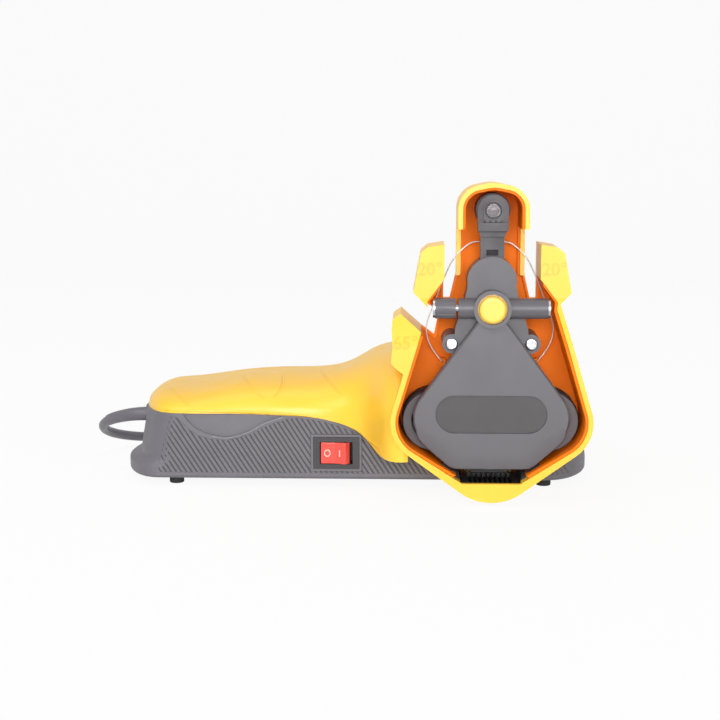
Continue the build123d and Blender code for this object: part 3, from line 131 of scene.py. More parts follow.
class SharpenerSizes(bpy.types.PropertyGroup):
    """Sizes of the moulded detail and the cord."""
    flute_pitch: length_property("Flute pitch", "Level distance from one flute to the next", 2.42)
    flute_width: length_property("Flute width", "Width of a flute", 0.68)
    flute_depth: length_property("Flute depth", "Depth of a flute", 0.32)
    flute_lean: bpy.props.FloatProperty(
        name="Flute lean", description="Slope of the flutes below the level", subtype="ANGLE",
        unit="ROTATION", default=math.radians(57))
    letter_height: length_property("Letter height", "Height of the angle marks", 5.6)
    letter_relief: length_property("Letter relief", "How far the angle marks stand proud", 0.35)
    cord_diameter: length_property("Cord diameter", "Outside of the mains cord", 4.8)
    coil_radius: length_property("Coil radius", "Middle of the turns of the stored cord", 26.0)


# ---------------------------------------------------------------- materials
NOISE_RANGE = (0.3, 0.7)     # nearly all of a noise's values lie in it
CLOUD_GRAINS = 38.0          # grains to a metre of the broad changes of tint
WAVE_GRAINS = 120.0          # and of the uneven polish
DUST_GRAINS = 160.0
STAIN_GRAINS = 90.0


def link(tree, source, target):
    """Joins an output of a node tree to an input."""
    tree.links.new(source, target)


def new_material(name):
    """Material with nodes: itself, its tree and its shader."""
    material = bpy.data.materials.new(name)
    material.use_nodes = True
    tree = material.node_tree
    return material, tree, tree.nodes["Principled BSDF"]


def object_space(tree):
    """Place on the piece, in metres."""
    return tree.nodes.new("ShaderNodeTexCoord").outputs["Object"]


def noise_value(tree, vector, scale, detail=3.0, roughness=0.55):
    """Cloudy noise with that many grains to a metre."""
    node = tree.nodes.new("ShaderNodeTexNoise")
    node.inputs["Scale"].default_value = scale
    node.inputs["Detail"].default_value = detail
    node.inputs["Roughness"].default_value = roughness
    link(tree, vector, node.inputs["Vector"])
    return node.outputs["Fac"]


def spread(tree, value, low, high):
    """The middle range of a noise value spread from low to high."""
    node = tree.nodes.new("ShaderNodeMapRange")
    node.inputs["From Min"].default_value = NOISE_RANGE[0]
    node.inputs["From Max"].default_value = NOISE_RANGE[1]
    node.inputs["To Min"].default_value = low
    node.inputs["To Max"].default_value = high
    link(tree, value, node.inputs["Value"])
    return node.outputs["Result"]


def between(tree, value, first, second):
    """Colour that the middle range of a noise value takes from first to second."""
    ramp = tree.nodes.new("ShaderNodeValToRGB")
    ramp.color_ramp.elements[0].position = NOISE_RANGE[0]
    ramp.color_ramp.elements[1].position = NOISE_RANGE[1]
    ramp.color_ramp.elements[0].color = (*first, 1)
    ramp.color_ramp.elements[1].color = (*second, 1)
    link(tree, value, ramp.inputs["Fac"])
    return ramp.outputs["Color"]


def bump(tree, height, strength, distance, previous=None):
    """Normal bumped by a height value over a distance in mm, on top of a previous bump."""
    node = tree.nodes.new("ShaderNodeBump")
    node.inputs["Strength"].default_value = strength
    node.inputs["Distance"].default_value = distance * MM
    link(tree, height, node.inputs["Height"])
    if previous is not None:
        link(tree, previous, node.inputs["Normal"])
    return node.outputs["Normal"]


def shade(colour, factor):
    """Colour made darker or lighter."""
    return tuple(min(1.0, channel * factor) for channel in colour)


def moulded(name, colour, gloss, grain, depth, mottle, coat=0.0, glow=0.0, shine=0.5):
    """Moulded plastic: fine grain of that size in mm, faint flow marks and uneven polish."""
    material, tree, shader = new_material(name)
    space = object_space(tree)
    cloud = noise_value(tree, space, CLOUD_GRAINS, 4.0)
    fine = noise_value(tree, space, 1.0 / (grain * MM), 2.0)
    wave = noise_value(tree, space, WAVE_GRAINS, 2.0)
    tint = between(tree, cloud, shade(colour, 1 - mottle), shade(colour, 1 + mottle))
    link(tree, tint, shader.inputs["Base Color"])
    link(tree, spread(tree, wave, gloss - 0.05, gloss + 0.06), shader.inputs["Roughness"])
    broad = bump(tree, wave, 0.25, 0.12)
    link(tree, bump(tree, fine, 0.6, depth, broad), shader.inputs["Normal"])
    shader.inputs["IOR"].default_value = 1.5
    shader.inputs["Specular IOR Level"].default_value = shine
    shader.inputs["Coat Weight"].default_value = coat
    shader.inputs["Coat Roughness"].default_value = 0.22
    if glow:
        shader.inputs["Subsurface Weight"].default_value = glow
        shader.inputs["Subsurface Radius"].default_value = (1.2, 0.6, 0.25)
        shader.inputs["Subsurface Scale"].default_value = 1.2 * MM
    return material


def rubbery(name, colour, rough=0.8, grain=0.5):
    """Rubber, abrasive band or magnet: matt, with a coarse broken grain."""
    material, tree, shader = new_material(name)
    space = object_space(tree)
    coarse = noise_value(tree, space, 1.0 / (grain * MM), 4.0, 0.7)
    dust = noise_value(tree, space, DUST_GRAINS, 3.0)
    link(tree, between(tree, dust, shade(colour, 0.75), shade(colour, 1.5)), shader.inputs["Base Color"])
    link(tree, spread(tree, coarse, rough - 0.1, rough + 0.1), shader.inputs["Roughness"])
    link(tree, bump(tree, coarse, 0.8, 0.12), shader.inputs["Normal"])
    return material


def metal(name, colour, rough=0.3, brush=(40.0, 900.0, 900.0), wear=0.12):
    """Turned or drawn metal, with fine tool marks along one way and faint stains."""
    material, tree, shader = new_material(name)
    mapping = tree.nodes.new("ShaderNodeMapping")
    mapping.inputs["Scale"].default_value = brush
    link(tree, object_space(tree), mapping.inputs["Vector"])
    marks = noise_value(tree, mapping.outputs["Vector"], 1.0, 3.0)
    stain = noise_value(tree, object_space(tree), STAIN_GRAINS, 4.0)
    link(tree, between(tree, stain, shade(colour, 1 - wear), colour), shader.inputs["Base Color"])
    link(tree, spread(tree, marks, rough - 0.08, rough + 0.1), shader.inputs["Roughness"])
    link(tree, bump(tree, marks, 0.2, 0.03), shader.inputs["Normal"])
    shader.inputs["Metallic"].default_value = 1.0
    return material


FINISHES = {}


def make_finishes(colours):
    """Every finish of the sharpener by name: gloss, grain, depth and mottle of the moulded ones."""
    housing = colours.housing
    base = colours.base
    FINISHES.update({
        "housing": moulded("housing yellow", housing, 0.36, 0.3, 0.03, 0.02, glow=0.06),
        # raised numbers: the housing colour made darker, painted shade
        "numbers": moulded("raised numbers painted shade", shade(housing, 0.84), 0.34, 0.3, 0.02, 0.02),
        # creases: the housing colour a little darker, painted shade
        "crease": moulded("housing crease painted shade", shade(housing, 0.96), 0.36, 0.3, 0.03, 0.02, glow=0.06),
        "lining": moulded("lining orange", colours.lining, 0.5, 0.4, 0.05, 0.04, shine=0.15),
        "base": moulded("base grey", base, 0.5, 0.42, 0.09, 0.06),
        # floors of the flutes: the base colour made much darker, painted shade in the grooves
        "flute": moulded("flute floor painted shade", shade(base, 0.42), 0.6, 0.42, 0.06, 0.08),
        # edge of the thumb recess: the base colour made lighter, painted highlight
        "edge": moulded("recess edge painted highlight", shade(base, 1.7), 0.4, 0.42, 0.03, 0.04),
        "nut": metal("dark steel", srgb(96, 92, 94), 0.42),
        # near-black, darker than the black plastic: painted shade in the arm's slot and the chin
        "painted_shade": moulded("painted shade black", srgb(22, 20, 22), 0.7, 0.4, 0.05, 0.1),
        "drive": moulded("drive grey", colours.drive, 0.42, 0.32, 0.05, 0.05),
        "badge": moulded("badge grey", colours.badge, 0.5, 0.5, 0.03, 0.04),
        "arm": moulded("arm grey", colours.arm, 0.45, 0.4, 0.06, 0.06),
        "wheel": moulded("wheel grey", colours.wheel, 0.5, 0.4, 0.06, 0.08),
        "black": moulded("black plastic", srgb(38, 37, 40), 0.42, 0.4, 0.05, 0.1),
        "bezel": moulded("switch black", srgb(46, 44, 47), 0.4, 0.3, 0.04, 0.06),
        "rocker": moulded("rocker red", colours.rocker, 0.22, 0.5, 0.02, 0.04, coat=0.3),
        "marking": moulded("marking white", colours.marking, 0.4, 0.3, 0.02, 0.02),
        "button": moulded("button yellow", colours.button, 0.25, 0.4, 0.02, 0.02, coat=0.4),
        "rubber": rubbery("foot rubber", srgb(30, 30, 32)),
        "band": rubbery("abrasive band", srgb(40, 38, 40), 0.85, 0.28),
        "cord": moulded("cord sleeve", colours.cord, 0.42, 0.6, 0.04, 0.08),
        "bright": metal("bright steel", srgb(214, 219, 228), 0.2),
        "steel": metal("ground steel", srgb(188, 190, 194), 0.3),
        "spring": metal("spring wire", srgb(150, 150, 154), 0.26),
        "hoop": metal("hoop wire", srgb(226, 222, 220), 0.5, (300.0, 300.0, 300.0), 0.04),
        "can": metal("motor can", srgb(170, 172, 176), 0.36, (500.0, 60.0, 500.0)),
        "magnet": rubbery("magnet", srgb(52, 50, 52), 0.6, 0.8),
        "copper": metal("copper winding", srgb(206, 120, 70), 0.34),
        "bronze": metal("oiled bronze", srgb(190, 148, 92), 0.4),
        "brass": metal("brass", srgb(222, 190, 116), 0.28),
        "board": moulded("circuit board", srgb(38, 108, 62), 0.34, 0.8, 0.05, 0.12),
        "lead": moulded("lead red", srgb(190, 34, 30), 0.4, 0.5, 0.04, 0.05),
    })


def finish_nodes(finish, *names):
    """Gives CAD nodes a finish through their material slots."""
    for name in names:
        node = NODES[name]
        if not node.material_slots:
            node.data.materials.append(FINISHES[finish])
        for place in node.material_slots:
            place.material = FINISHES[finish]


# ---------------------------------------------------------------- shapes
RAY_Y = -100.0               # rays to the front of the sharpener start here


def rectangle(x_left, z_low, x_right, z_high):
    """Corners (x, z) of a rectangle."""
    return [(x_left, z_low), (x_right, z_low), (x_right, z_high), (x_left, z_high)]


def angles(count):
    """Evenly spread angles of a full turn."""
    return [2 * math.pi * index / count for index in range(count)]


def neighbours(line, index):
    """Points before and after one of a line, where an end takes its own place."""
    return line[max(index - 1, 0)], line[min(index + 1, len(line) - 1)]


def face_outwards(piece):
    """Makes the faces of a closed piece look out."""
    work = bmesh.new()
    work.from_mesh(piece.data)
    bmesh.ops.recalc_face_normals(work, faces=work.faces)
    work.to_mesh(piece.data)
    work.free()


def soften_edges(piece, width, segments):
    """Rounds the sharp edges of a piece by that width in mm."""
    bevel = piece.modifiers.new("soft edges", "BEVEL")
    bevel.limit_method = "ANGLE"
    bevel.width = width * MM
    bevel.segments = segments


class Shape:
    """Points in mm and faces that the parts of one closed piece are gathered in."""

    def __init__(self):
        self.points = []
        self.faces = []

    def prism(self, outline, y_front, y_back):
        """Closed prism of a front-view outline (x, z) between two depths."""
        self.rings([[(x, y, z) for x, z in outline] for y in (y_front, y_back)])

    def rings(self, rings, closed=False):
        """Skin over rings of equally many points, capped at both ends unless it is closed."""
        size = len(rings[0])
        start = len(self.points)
        for ring in rings:
            self.points += ring
        spans = len(rings) if closed else len(rings) - 1
        for span in range(spans):
            low = start + span * size
            high = start + (span + 1) % len(rings) * size
            for index in range(size):
                after = (index + 1) % size
                self.faces.append([low + index, low + after, high + after, high + index])
        if not closed:
            self.faces.append([start + index for index in range(size)][::-1])
            self.faces.append([start + (len(rings) - 1) * size + index for index in range(size)])

    def turned(self, x, z, profile, count=40):
        """Ring turned about a front-to-back axis; profile is (radius, y) round its section."""
        rings = []
        for angle in angles(count):
            across, up = math.cos(angle), math.sin(angle)
            rings.append([(x + radius * across, y, z + radius * up) for radius, y in profile])
        self.rings(rings, closed=True)

    def place(self, name, finish, body, slot, smooth=False):
        """The gathered faces as a piece with a finish, which rides on a body."""
        mesh = bpy.data.meshes.new(name)
        mesh.from_pydata([[value * MM for value in point] for point in self.points], [], self.faces)
        mesh.validate()
        mesh.materials.append(FINISHES[finish])
        for polygon in mesh.polygons:
            polygon.use_smooth = smooth
        piece = bpy.data.objects.new(name, mesh)
        bpy.context.scene.collection.objects.link(piece)
        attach(piece, body)
        face_outwards(piece)
        return piece


def surface_of(mesh):
    """Search tree over a mesh."""
    places = [vertex.co for vertex in mesh.vertices]
    return BVHTree.FromPolygons(places, [polygon.vertices for polygon in mesh.polygons])


def depth_at(surface, x, z):
    """Depth at which a surface is met from the front, or None where there is nothing."""
    hit = surface.ray_cast(Vector((x, RAY_Y, z)) * MM, Vector((0, 1, 0)))[0]
    return None if hit is None else hit.y / MM


def inside(outline, x, z):
    """Whether a point lies in an outline."""
    hit = False
    for index, (x0, z0) in enumerate(outline):
        x1, z1 = outline[index - 1]
        if (z0 > z) != (z1 > z) and x < (x1 - x0) * (z - z0) / (z1 - z0) + x0:
            hit = not hit
    return hit


def rounded_line(points, steps=12):
    """Smooth line through the given points, with that many steps between two of them."""
    curve = []
    padded = [points[0], *points, points[-1]]
    for first, start, end, last in zip(padded, padded[1:], padded[2:], padded[3:]):
        for step in range(steps):
            t = step / steps
            curve.append(tuple(
                0.5 * (2 * b + (c - a) * t + (2 * a - 5 * b + 4 * c - d) * t * t
                       + (3 * b - a - 3 * c + d) * t ** 3)
                for a, b, c, d in zip(first, start, end, last)))
    return curve + [tuple(points[-1])]


def smooth_line(points, count):
    """Points evenly spread on a smooth line through the given ones."""
    curve = rounded_line(points)
    lengths = [0.0]
    for before, after in zip(curve, curve[1:]):
        lengths.append(lengths[-1] + math.dist(before, after))
    spaced = []
    index = 0
    for step in range(count):
        wanted = lengths[-1] * step / (count - 1)
        while index < len(lengths) - 2 and lengths[index + 1] < wanted:
            index += 1
        span = lengths[index + 1] - lengths[index]
        share = 0 if span == 0 else (wanted - lengths[index]) / span
        spaced.append(tuple(a + (b - a) * share for a, b in zip(curve[index], curve[index + 1])))
    return spaced


def shortening_spring(node, axis, fixed_end):
    """Spring in place of a CAD one, on its own copy of the mesh with the spring finish; the middle of
    its fixed end is found but not used.
    """
    source = NODES[node]
    piece = bpy.data.objects.new(node + "_coil", source.data.copy())
    bpy.context.scene.collection.objects.link(piece)
    piece.matrix_world = source.matrix_world
    piece.data.materials.clear()
    piece.data.materials.append(FINISHES["spring"])
    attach(piece, "housing")
    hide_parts(node)
    low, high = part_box(node)
    vertices = source.data.vertices
    anchor = [sum(vertex.co[index] for vertex in vertices) / len(vertices) for index in (X, Y, Z)]
    anchor[axis] = (low if fixed_end == "low" else high)[axis]
    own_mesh(piece)


# ---------------------------------------------------------------- base
# fluted part of the front wall: under the seam, round the thumb recess and above the foot
FRONT_PANEL = (
    (-85.6, 32.4), (-83.4, 32.6), (-81.6, 32.0), (-80.0, 30.0), (-76.4, 26.6), (-72.5, 24.0),
    (-66.8, 22.4), (-58.9, 21.7), (-48.4, 24.6), (-40.4, 28.8), (-31.6, 31.9), (-27.0, 32.3),
    (-18.0, 31.6), (-8.4, 29.2), (1.8, 25.4), (8.2, 20.8), (14.0, 17.7), (20.0, 17.0),
    (38.0, 17.0), (38.0, 6.4), (-91.6, 6.4), (-90.8, 12.0),
)
END_PANEL = rectangle(88.0, 6.4, 105.0, 16.8)
SWITCH_ROOM = rectangle(SWITCH_X - 11.8, SWITCH_Z - 8.6, SWITCH_X + 11.8, SWITCH_Z + 8.6)
FLUTE_TOP_Z = 36.0           # flutes start here, above their panel
FLUTE_DROP = 34.0            # height that they run down over
FLUTE_LEAD = 30.0            # the first one starts this far left of its panel
FLUTE_STEP = 0.25            # distance down an edge between two looks at the panel
# the floors of the flutes are dark sheets of painted shade
SHADE_FLOOR_RISE = 0.03            # the dark floors stand this proud of the wall
STRIP_SPAN = 2.5             # length of one facet down a rib or floor
STRIP_SINK = 0.15            # how far it is let into the wall
SHORTEST_STRIP = 0.6
FRONT_DEPTH = 9.0            # nothing further behind the front wall is fluted
RECESS_EDGE = ((-66.0, 23.6), (-59.1, 22.7), (-49.2, 25.4), (-41.5, 29.6), (-33.0, 32.6))
RECESS_PROFILE = ((-0.45, -0.1), (-0.2, 0.24), (0.1, 0.24), (0.3, -0.1))
RECESS_FADE = 6              # points over which each end of the edge dies away
BACK_WALL = rectangle(HEAD_X - 20.0, 5.5, HEAD_X + 20.0, 18.1)
BACK_WALL_T = 1.6
BACK_WALL_RISE = 0.02


def flute_point(x_start, lean, down):
    """Point (x, z) that far down a slanting edge."""
    return x_start + math.cos(lean) * down, FLUTE_TOP_Z - math.sin(lean) * down


def flute_edge(x_start, lean, panel):
    """Stretches of one slanting edge that lie in the panel, as distances down the edge."""
    runs = []
    run_start = None
    for index in range(int(FLUTE_DROP / math.sin(lean) / FLUTE_STEP)):
        down = index * FLUTE_STEP
        x, z = flute_point(x_start, lean, down)
        within = inside(panel, x, z) and not inside(SWITCH_ROOM, x, z)
        if within and run_start is None:
            run_start = down
        if not within and run_start is not None:
            runs.append((run_start, down - FLUTE_STEP))
            run_start = None
    return runs


def draped_strip(shape, surface, edges, lean, runs, rise):
    """Slanting strip between two edges that follows the wall and stands proud of it by rise."""
    spans = max(2, int((runs[0][1] - runs[0][0]) / STRIP_SPAN))
    rings = []
    for index in range(spans + 1):
        line = []
        for edge, (start, end) in zip(edges, runs):
            x, z = flute_point(edge, lean, start + (end - start) * index / spans)
            y = depth_at(surface, x, z)
            if y is None or y > TUB_Y + FRONT_DEPTH:
                return
            line.append((x, y, z))
        rings.append([(x, y - rise, z) for x, y, z in line]
                     + [(x, y + STRIP_SINK, z) for x, y, z in reversed(line)])
    shape.rings(rings)


def fluted_panel(name, sizes, surface, panel):
    """Ribs draped on the front wall, with dark flutes between them: their floors are sheets of painted
    shade.
    """
    lean = sizes.flute_lean
    pitch = sizes.flute_pitch / MM
    width = sizes.flute_width / MM / math.sin(lean)
    ribs, shade_floors = Shape(), Shape()
    first = min(x for x, _ in panel) - FLUTE_LEAD
    last = max(x for x, _ in panel)
    for index in range(int((last - first) / pitch)):
        start = first + index * pitch
        for shape, edges, rise in ((ribs, (start + width, start + pitch), sizes.flute_depth / MM),
                                   (shade_floors, (start, start + width), SHADE_FLOOR_RISE)):
            left, right = [flute_edge(edge, lean, panel) for edge in edges]
            if len(left) != len(right):
                left = right = flute_edge(sum(edges) / 2, lean, panel)
            for runs in zip(left, right):
                if min(end - begin for begin, end in runs) > SHORTEST_STRIP:
                    draped_strip(shape, surface, edges, lean, runs, rise)
    piece = ribs.place(name + "_ribs", "base", "housing", "housing_grey")
    soften_edges(piece, 0.1, 1)
    # dark sheets in the grooves: painted shade
    shade_floors.place(name + "_flute_shade", "flute", "housing", "housing_grey")


def recess_edge_highlight():
    """Thin raised line round the lower edge of the thumb recess, in a lighter copy of the base colour:
    painted highlight.
    """
    rings = []
    line = smooth_line(RECESS_EDGE, 60)
    for index, (x, z) in enumerate(line):
        before, after = neighbours(line, index)
        along = (Vector(after) - Vector(before)).normalized()
        fade = min(1.0, index / RECESS_FADE, (len(line) - 1 - index) / RECESS_FADE)
        ring = []
        for offset, rise in RECESS_PROFILE:
            proud = rise * fade if rise > 0 else rise
            ring.append((x - along.y * offset, TUB_Y - proud, z + along.x * offset))
        rings.append(ring)
    shape = Shape()
    shape.rings(rings)
    shape.place("recess_edge_highlight", "edge", "housing", "housing_grey", smooth=True)


def back_wall():
    """Plain stretch of the tub's back wall behind the motor, up to the seam."""
    shape = Shape()
    shape.prism(BACK_WALL, TUB_BACK - BACK_WALL_T, TUB_BACK + BACK_WALL_RISE)
    shape.place("tub_back_wall", "base", "housing", "housing_grey")


class SHARPENER_OT_base(bpy.types.Operator):
    """Finish the tub, close its back and lay the fluted panels over its front wall"""
    bl_idname = "sharpener.base"
    bl_label = "Base"

    def execute(self, context):
        finish_nodes("base", "base_tub")
        sizes = context.scene.sharpener_sizes
        surface = surface_of(NODES["base_tub"].data)
        fluted_panel("front_panel", sizes, surface, FRONT_PANEL)
        fluted_panel("end_panel", sizes, surface, END_PANEL)
        recess_edge_highlight()
        back_wall()
        return {"FINISHED"}


# ---------------------------------------------------------------- grip
CREASES = {
    "wrist": ((-90.4, 9, 42.7), (-86.4, -2.8, 42.1), (-82.7, -10.7, 41.0), (-79.0, -16.9, 39.2),
              (-74.9, -20.6, 36.8)),
    "palm_back": ((-55.4, 16, 47.4), (-51.9, 1.0, 47.1), (-49.0, -8.3, 45.6), (-45.6, -14.3, 43.5),
                  (-41.6, -17.9, 41.0)),
    "palm_front": ((-35.2, 12, 48.8), (-33.9, -0.7, 47.9), (-33.5, -7.5, 46.5), (-34.2, -13.0, 44.5),
                   (-35.6, -16.3, 42.5), (-37.5, -18.3, 40.7)),
    "thumb": ((-17.3, 19.1, 49.7), (-14.9, 3.6, 49.3), (-12.4, -5.4, 48.0), (-9.7, -11.9, 46.4),
              (-6.9, -16.5, 44.3), (-3.6, -19.8, 42.0)),
    "lip": ((-88.5, -16.5, 35.3), (-85.7, -19.5, 35.6), (-71.4, -21.4, 35.8), (-52.9, -20.8, 35.5),
            (-34.3, -21.0, 34.6), (-20.4, -21.0, 33.0), (-8.0, -24.0, 30.4), (1.5, -28.5, 27.2),
            (6.8, -31.8, 24.9), (13.5, -46.7, 22.6)),
}
# across the crease and out of the shell: a long soft side and a short steep one
CREASE_PROFILE = ((-1.5, -0.05), (-0.7, 0.12), (-0.15, 0.24), (0.1, 0.2), (0.3, -0.05), (0.0, -0.3))


def crease_ridge(surface, line):
    """Moulded step draped on the grip, which dies away at both ends."""
    spots = [surface.find_nearest(Vector(point) * MM)[:2] for point in smooth_line(line, 60)]
    rings = []
    for index, (spot, normal) in enumerate(spots):
        (before, _), (after, _) = neighbours(spots, index)
        side = normal.cross(after - before).normalized()
        fade = math.sin(math.pi * index / (len(spots) - 1)) ** 0.5
        ring = []
        for offset, rise in CREASE_PROFILE:
            near, out = surface.find_nearest(spot + side * offset * MM)[:2]
            proud = rise * fade if rise > 0 else rise
            ring.append(tuple((near + out * proud * MM) / MM))
        rings.append(ring)
    shape = Shape()
    shape.rings(rings)
    return shape


class SHARPENER_OT_grip(bpy.types.Operator):
    """Finish the grip shell and lay its moulded creases over it"""
    bl_idname = "sharpener.grip"
    bl_label = "Grip"

    def execute(self, context):
        finish_nodes("housing", "grip_shell")
        surface = surface_of(NODES["grip_shell"].data)
        for name, line in CREASES.items():
            shape = crease_ridge(surface, line)
            # the ridges take a slightly darker copy of the housing colour: painted shade
            shape.place("crease_" + name, "crease", "housing", "housing_yellow", smooth=True)
        return {"FINISHED"}


# ---------------------------------------------------------------- head
# name, words, and their middle: x from the axis of the head, and z
ANGLE_MARKS = (("angle_left", "20°", -27.2, 103.4), ("angle_right", "20°", 26.8, 103.4),
               ("angle_scissors", "65°", -37.7, 71.8))
LETTER_SCALE = 1.4           # size of the font for letters of height 1
LETTER_EDGE = 0.06
GUIDE_DEPTH = 12.0           # the guides' fronts lie within this of the rim
# right half of the hoop, from its top: x from the axis of the head, and z
WIRE_SIDE = ((0.0, 114.5), (5.2, 114.5), (8.8, 113.9), (12.0, 111.6), (16.2, 107.2), (19.2, 101.5),
             (22.4, 93.8), (25.6, 85.4), (27.9, 79.2), (28.5, 74.6), (27.6, 70.0), (25.4, 65.6),
             (21.2, 60.0))
WIRE_Y = -30.3
WIRE_FOOT = (21.2, 59.6)
WIRE_TAIL = (1.6, 4.7)       # how far behind the hoop a foot starts and ends
WIRE_R = 0.3


def angle_mark(name, words, x, z, surface, sizes):
    """Raised marking draped on the front of a guide."""
    letters = bpy.data.curves.new(name, "FONT")
    letters.body = words
    letters.align_x = "CENTER"
    letters.align_y = "CENTER"
    letters.size = sizes.letter_height * LETTER_SCALE
    letters.extrude = sizes.letter_relief / 2
    letters.bevel_depth = LETTER_EDGE * MM
    letters.resolution_u = 6
    mould = bpy.data.objects.new(name + "_mould", letters)
    bpy.context.scene.collection.objects.link(mould)
    bpy.context.view_layer.update()
    mesh = bpy.data.meshes.new_from_object(mould.evaluated_get(bpy.context.evaluated_depsgraph_get()))
    bpy.data.objects.remove(mould)
    mesh.name = name
    mesh.materials.clear()
    # the marks take a darker copy of the housing colour: painted shade
    mesh.materials.append(FINISHES["numbers"])
    front = HEAD_Y
    for vertex in mesh.vertices:
        across, up, out = vertex.co / MM
        depth = depth_at(surface, x + across, z + up)
        # past the edge of a guide the last depth found holds
        if depth is not None and depth < HEAD_Y + GUIDE_DEPTH:
            front = depth
        vertex.co = Vector((x + across, front - out, z + up)) * MM
    piece = bpy.data.objects.new(name, mesh)
    bpy.context.scene.collection.objects.link(piece)
    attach(piece, "housing")


def spring_wire():
    """Hoop of spring wire with its two ends let into the lining."""
    foot_x, foot_z = WIRE_FOOT
    right = [(HEAD_X + x, WIRE_Y, z) for x, z in WIRE_SIDE]
    right += [(HEAD_X + foot_x, WIRE_Y + back, foot_z) for back in WIRE_TAIL]
    left = [(2 * HEAD_X - x, y, z) for x, y, z in right]
    line = [Vector(point) for point in smooth_line(left[::-1] + right[1:], 150)]
    side = (line[1] - line[0]).orthogonal().normalized()
    rings = []
    for index, spot in enumerate(line):
        before, after = neighbours(line, index)
        ahead = after - before
        # each ring keeps the turn of the one before it, so that the skin doesn't twist
        side = (side - ahead * side.dot(ahead) / ahead.length_squared).normalized()
        up = ahead.cross(side).normalized()
        rings.append([tuple(spot + (side * math.cos(angle) + up * math.sin(angle)) * WIRE_R)
                      for angle in angles(10)])
    shape = Shape()
    shape.rings(rings)
    piece = shape.place("spring_wire", "hoop", "housing", "steel", smooth=True)
    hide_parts("blade_spring_wire")


class SHARPENER_OT_head(bpy.types.Operator):
    """Finish the head, its lining and its wire, and raise the sharpening angles on the guides"""
    bl_idname = "sharpener.head"
    bl_label = "Head"

    def execute(self, context):
        sizes = context.scene.sharpener_sizes
        finish_nodes("housing", "head_shell")
        finish_nodes("lining", "head_liner")
        finish_nodes("black", "dust_grille")
        spring_wire()
        surface = surface_of(NODES["head_shell"].data)
        for name, words, x, z in ANGLE_MARKS:
            angle_mark(name, words, HEAD_X + x, z, surface, sizes)
        return {"FINISHED"}


# ---------------------------------------------------------------- drive
# left side of the cover's lower edge, down to the chin: x from the axis of the head, and z
SKIRT_SIDE = ((-32.6, 35.0), (-32.9, 32.0), (-31.6, 28.6), (-28.6, 25.4), (-26.5, 23.5), (-22.8, 20.3),
              (-19.4, 17.4), (-16.6, 15.9), (-13.0, 15.6))
SKIRT_MIDDLE_Z = 40.2        # height that the edge goes round
SKIRT_INNER = 0.74           # inner edge as a share of the outer one
SKIRT_INNER_TOP = 30.0
# round the outer edge: inset from it, and depth behind the cover's face
SKIRT_EDGE = ((0.9, -0.02), (0.45, 0.1), (0.1, 0.5), (0.0, 1.0), (0.0, 5.0))
# depths of the inner edge, from inside the cover's plate, past its face, to the skirt's back
SKIRT_INNER_DEPTHS = (0.5, -0.02, 5.0)
SKIRT_SHARP = math.radians(30)
# right side of the chin's lining: x from the axis of the head, and z
TRAY_SIDE = ((21.4, 18.0), (13.7, 11.8), (13.2, 9.8), (13.9, 9.0), (21.8, 15.2))
TRAY_FRONT = -52.0
TRAY_BACK = -24.0
TRAY_RIB = ((20.6, 17.9), (13.6, 12.2), (13.8, 11.4), (20.9, 17.0))
TRAY_RIB_START = -50.5
TRAY_RIB_PITCH = 2.9
TRAY_RIB_T = 0.9
TRAY_FLOOR = rectangle(HEAD_X - 12.9, 7.3, HEAD_X + 12.9, 7.6)
TRAY_FLOOR_FRONT = -56.0


def cover_skirt():
    """Lower edge of the cover, with its two slanting corners."""
    half = smooth_line(SKIRT_SIDE, 40)
    line = half + [(-x, z) for x, z in reversed(half)]
    rings = []
    for index, (x, z) in enumerate(line):
        before, after = neighbours(line, index)
        spoke = Vector((x, z - SKIRT_MIDDLE_Z))
        out = Vector((after[1] - before[1], before[0] - after[0])).normalized()
        if out.dot(spoke) < 0:
            out = -out
        inner_x = HEAD_X + spoke.x * SKIRT_INNER
        inner_z = min(SKIRT_MIDDLE_Z + spoke.y * SKIRT_INNER, SKIRT_INNER_TOP)
        inner = [(inner_x, COVER_Y + back, inner_z) for back in SKIRT_INNER_DEPTHS]
        outer = [(HEAD_X + x - out.x * inset, COVER_Y + back, z - out.y * inset)
                 for inset, back in SKIRT_EDGE]
        rings.append(inner[:2] + outer + inner[2:])
    shape = Shape()
    shape.rings(rings)
    piece = shape.place("cover_skirt", "drive", "housing", "drive_grey")
    piece.data.set_sharp_from_angle(angle=SKIRT_SHARP)
    for polygon in piece.data.polygons:
        polygon.use_smooth = True


def shaded_chin_tray():
    """Near-black lining of the chin, with fine ribs, round the grille: painted shade in the cavity under
    the cover.
    """
    shape = Shape()
    for sign in (-1, 1):
        shape.prism([(HEAD_X + sign * x, z) for x, z in TRAY_SIDE], TRAY_FRONT, TRAY_BACK)
        for index in range(9):
            y = TRAY_RIB_START + TRAY_RIB_PITCH * index
            shape.prism([(HEAD_X + sign * x, z) for x, z in TRAY_RIB], y, y + TRAY_RIB_T)
    shape.prism(TRAY_FLOOR, TRAY_FLOOR_FRONT, TRAY_BACK)
    shape.place("shaded_chin_tray", "painted_shade", "housing", "black_plastic")


class SHARPENER_OT_drive(bpy.types.Operator):
    """Finish the cover, belt frame, barrel, knob and button, and line the chin with painted shade"""
    bl_idname = "sharpener.drive"
    bl_label = "Drive cover and frame"

    def execute(self, context):
        finish_nodes("drive", "drive_cover", "belt_frame", "cross_barrel", "tracking_knob")
        cover_skirt()
        shaded_chin_tray()
        finish_nodes("badge", "cover_badge")
        finish_nodes("button", "release_button")
        finish_nodes("bright", "frame_screws")
        finish_nodes("steel", "cross_axle")
        shortening_spring("button_spring", Y, "high")
        return {"FINISHED"}


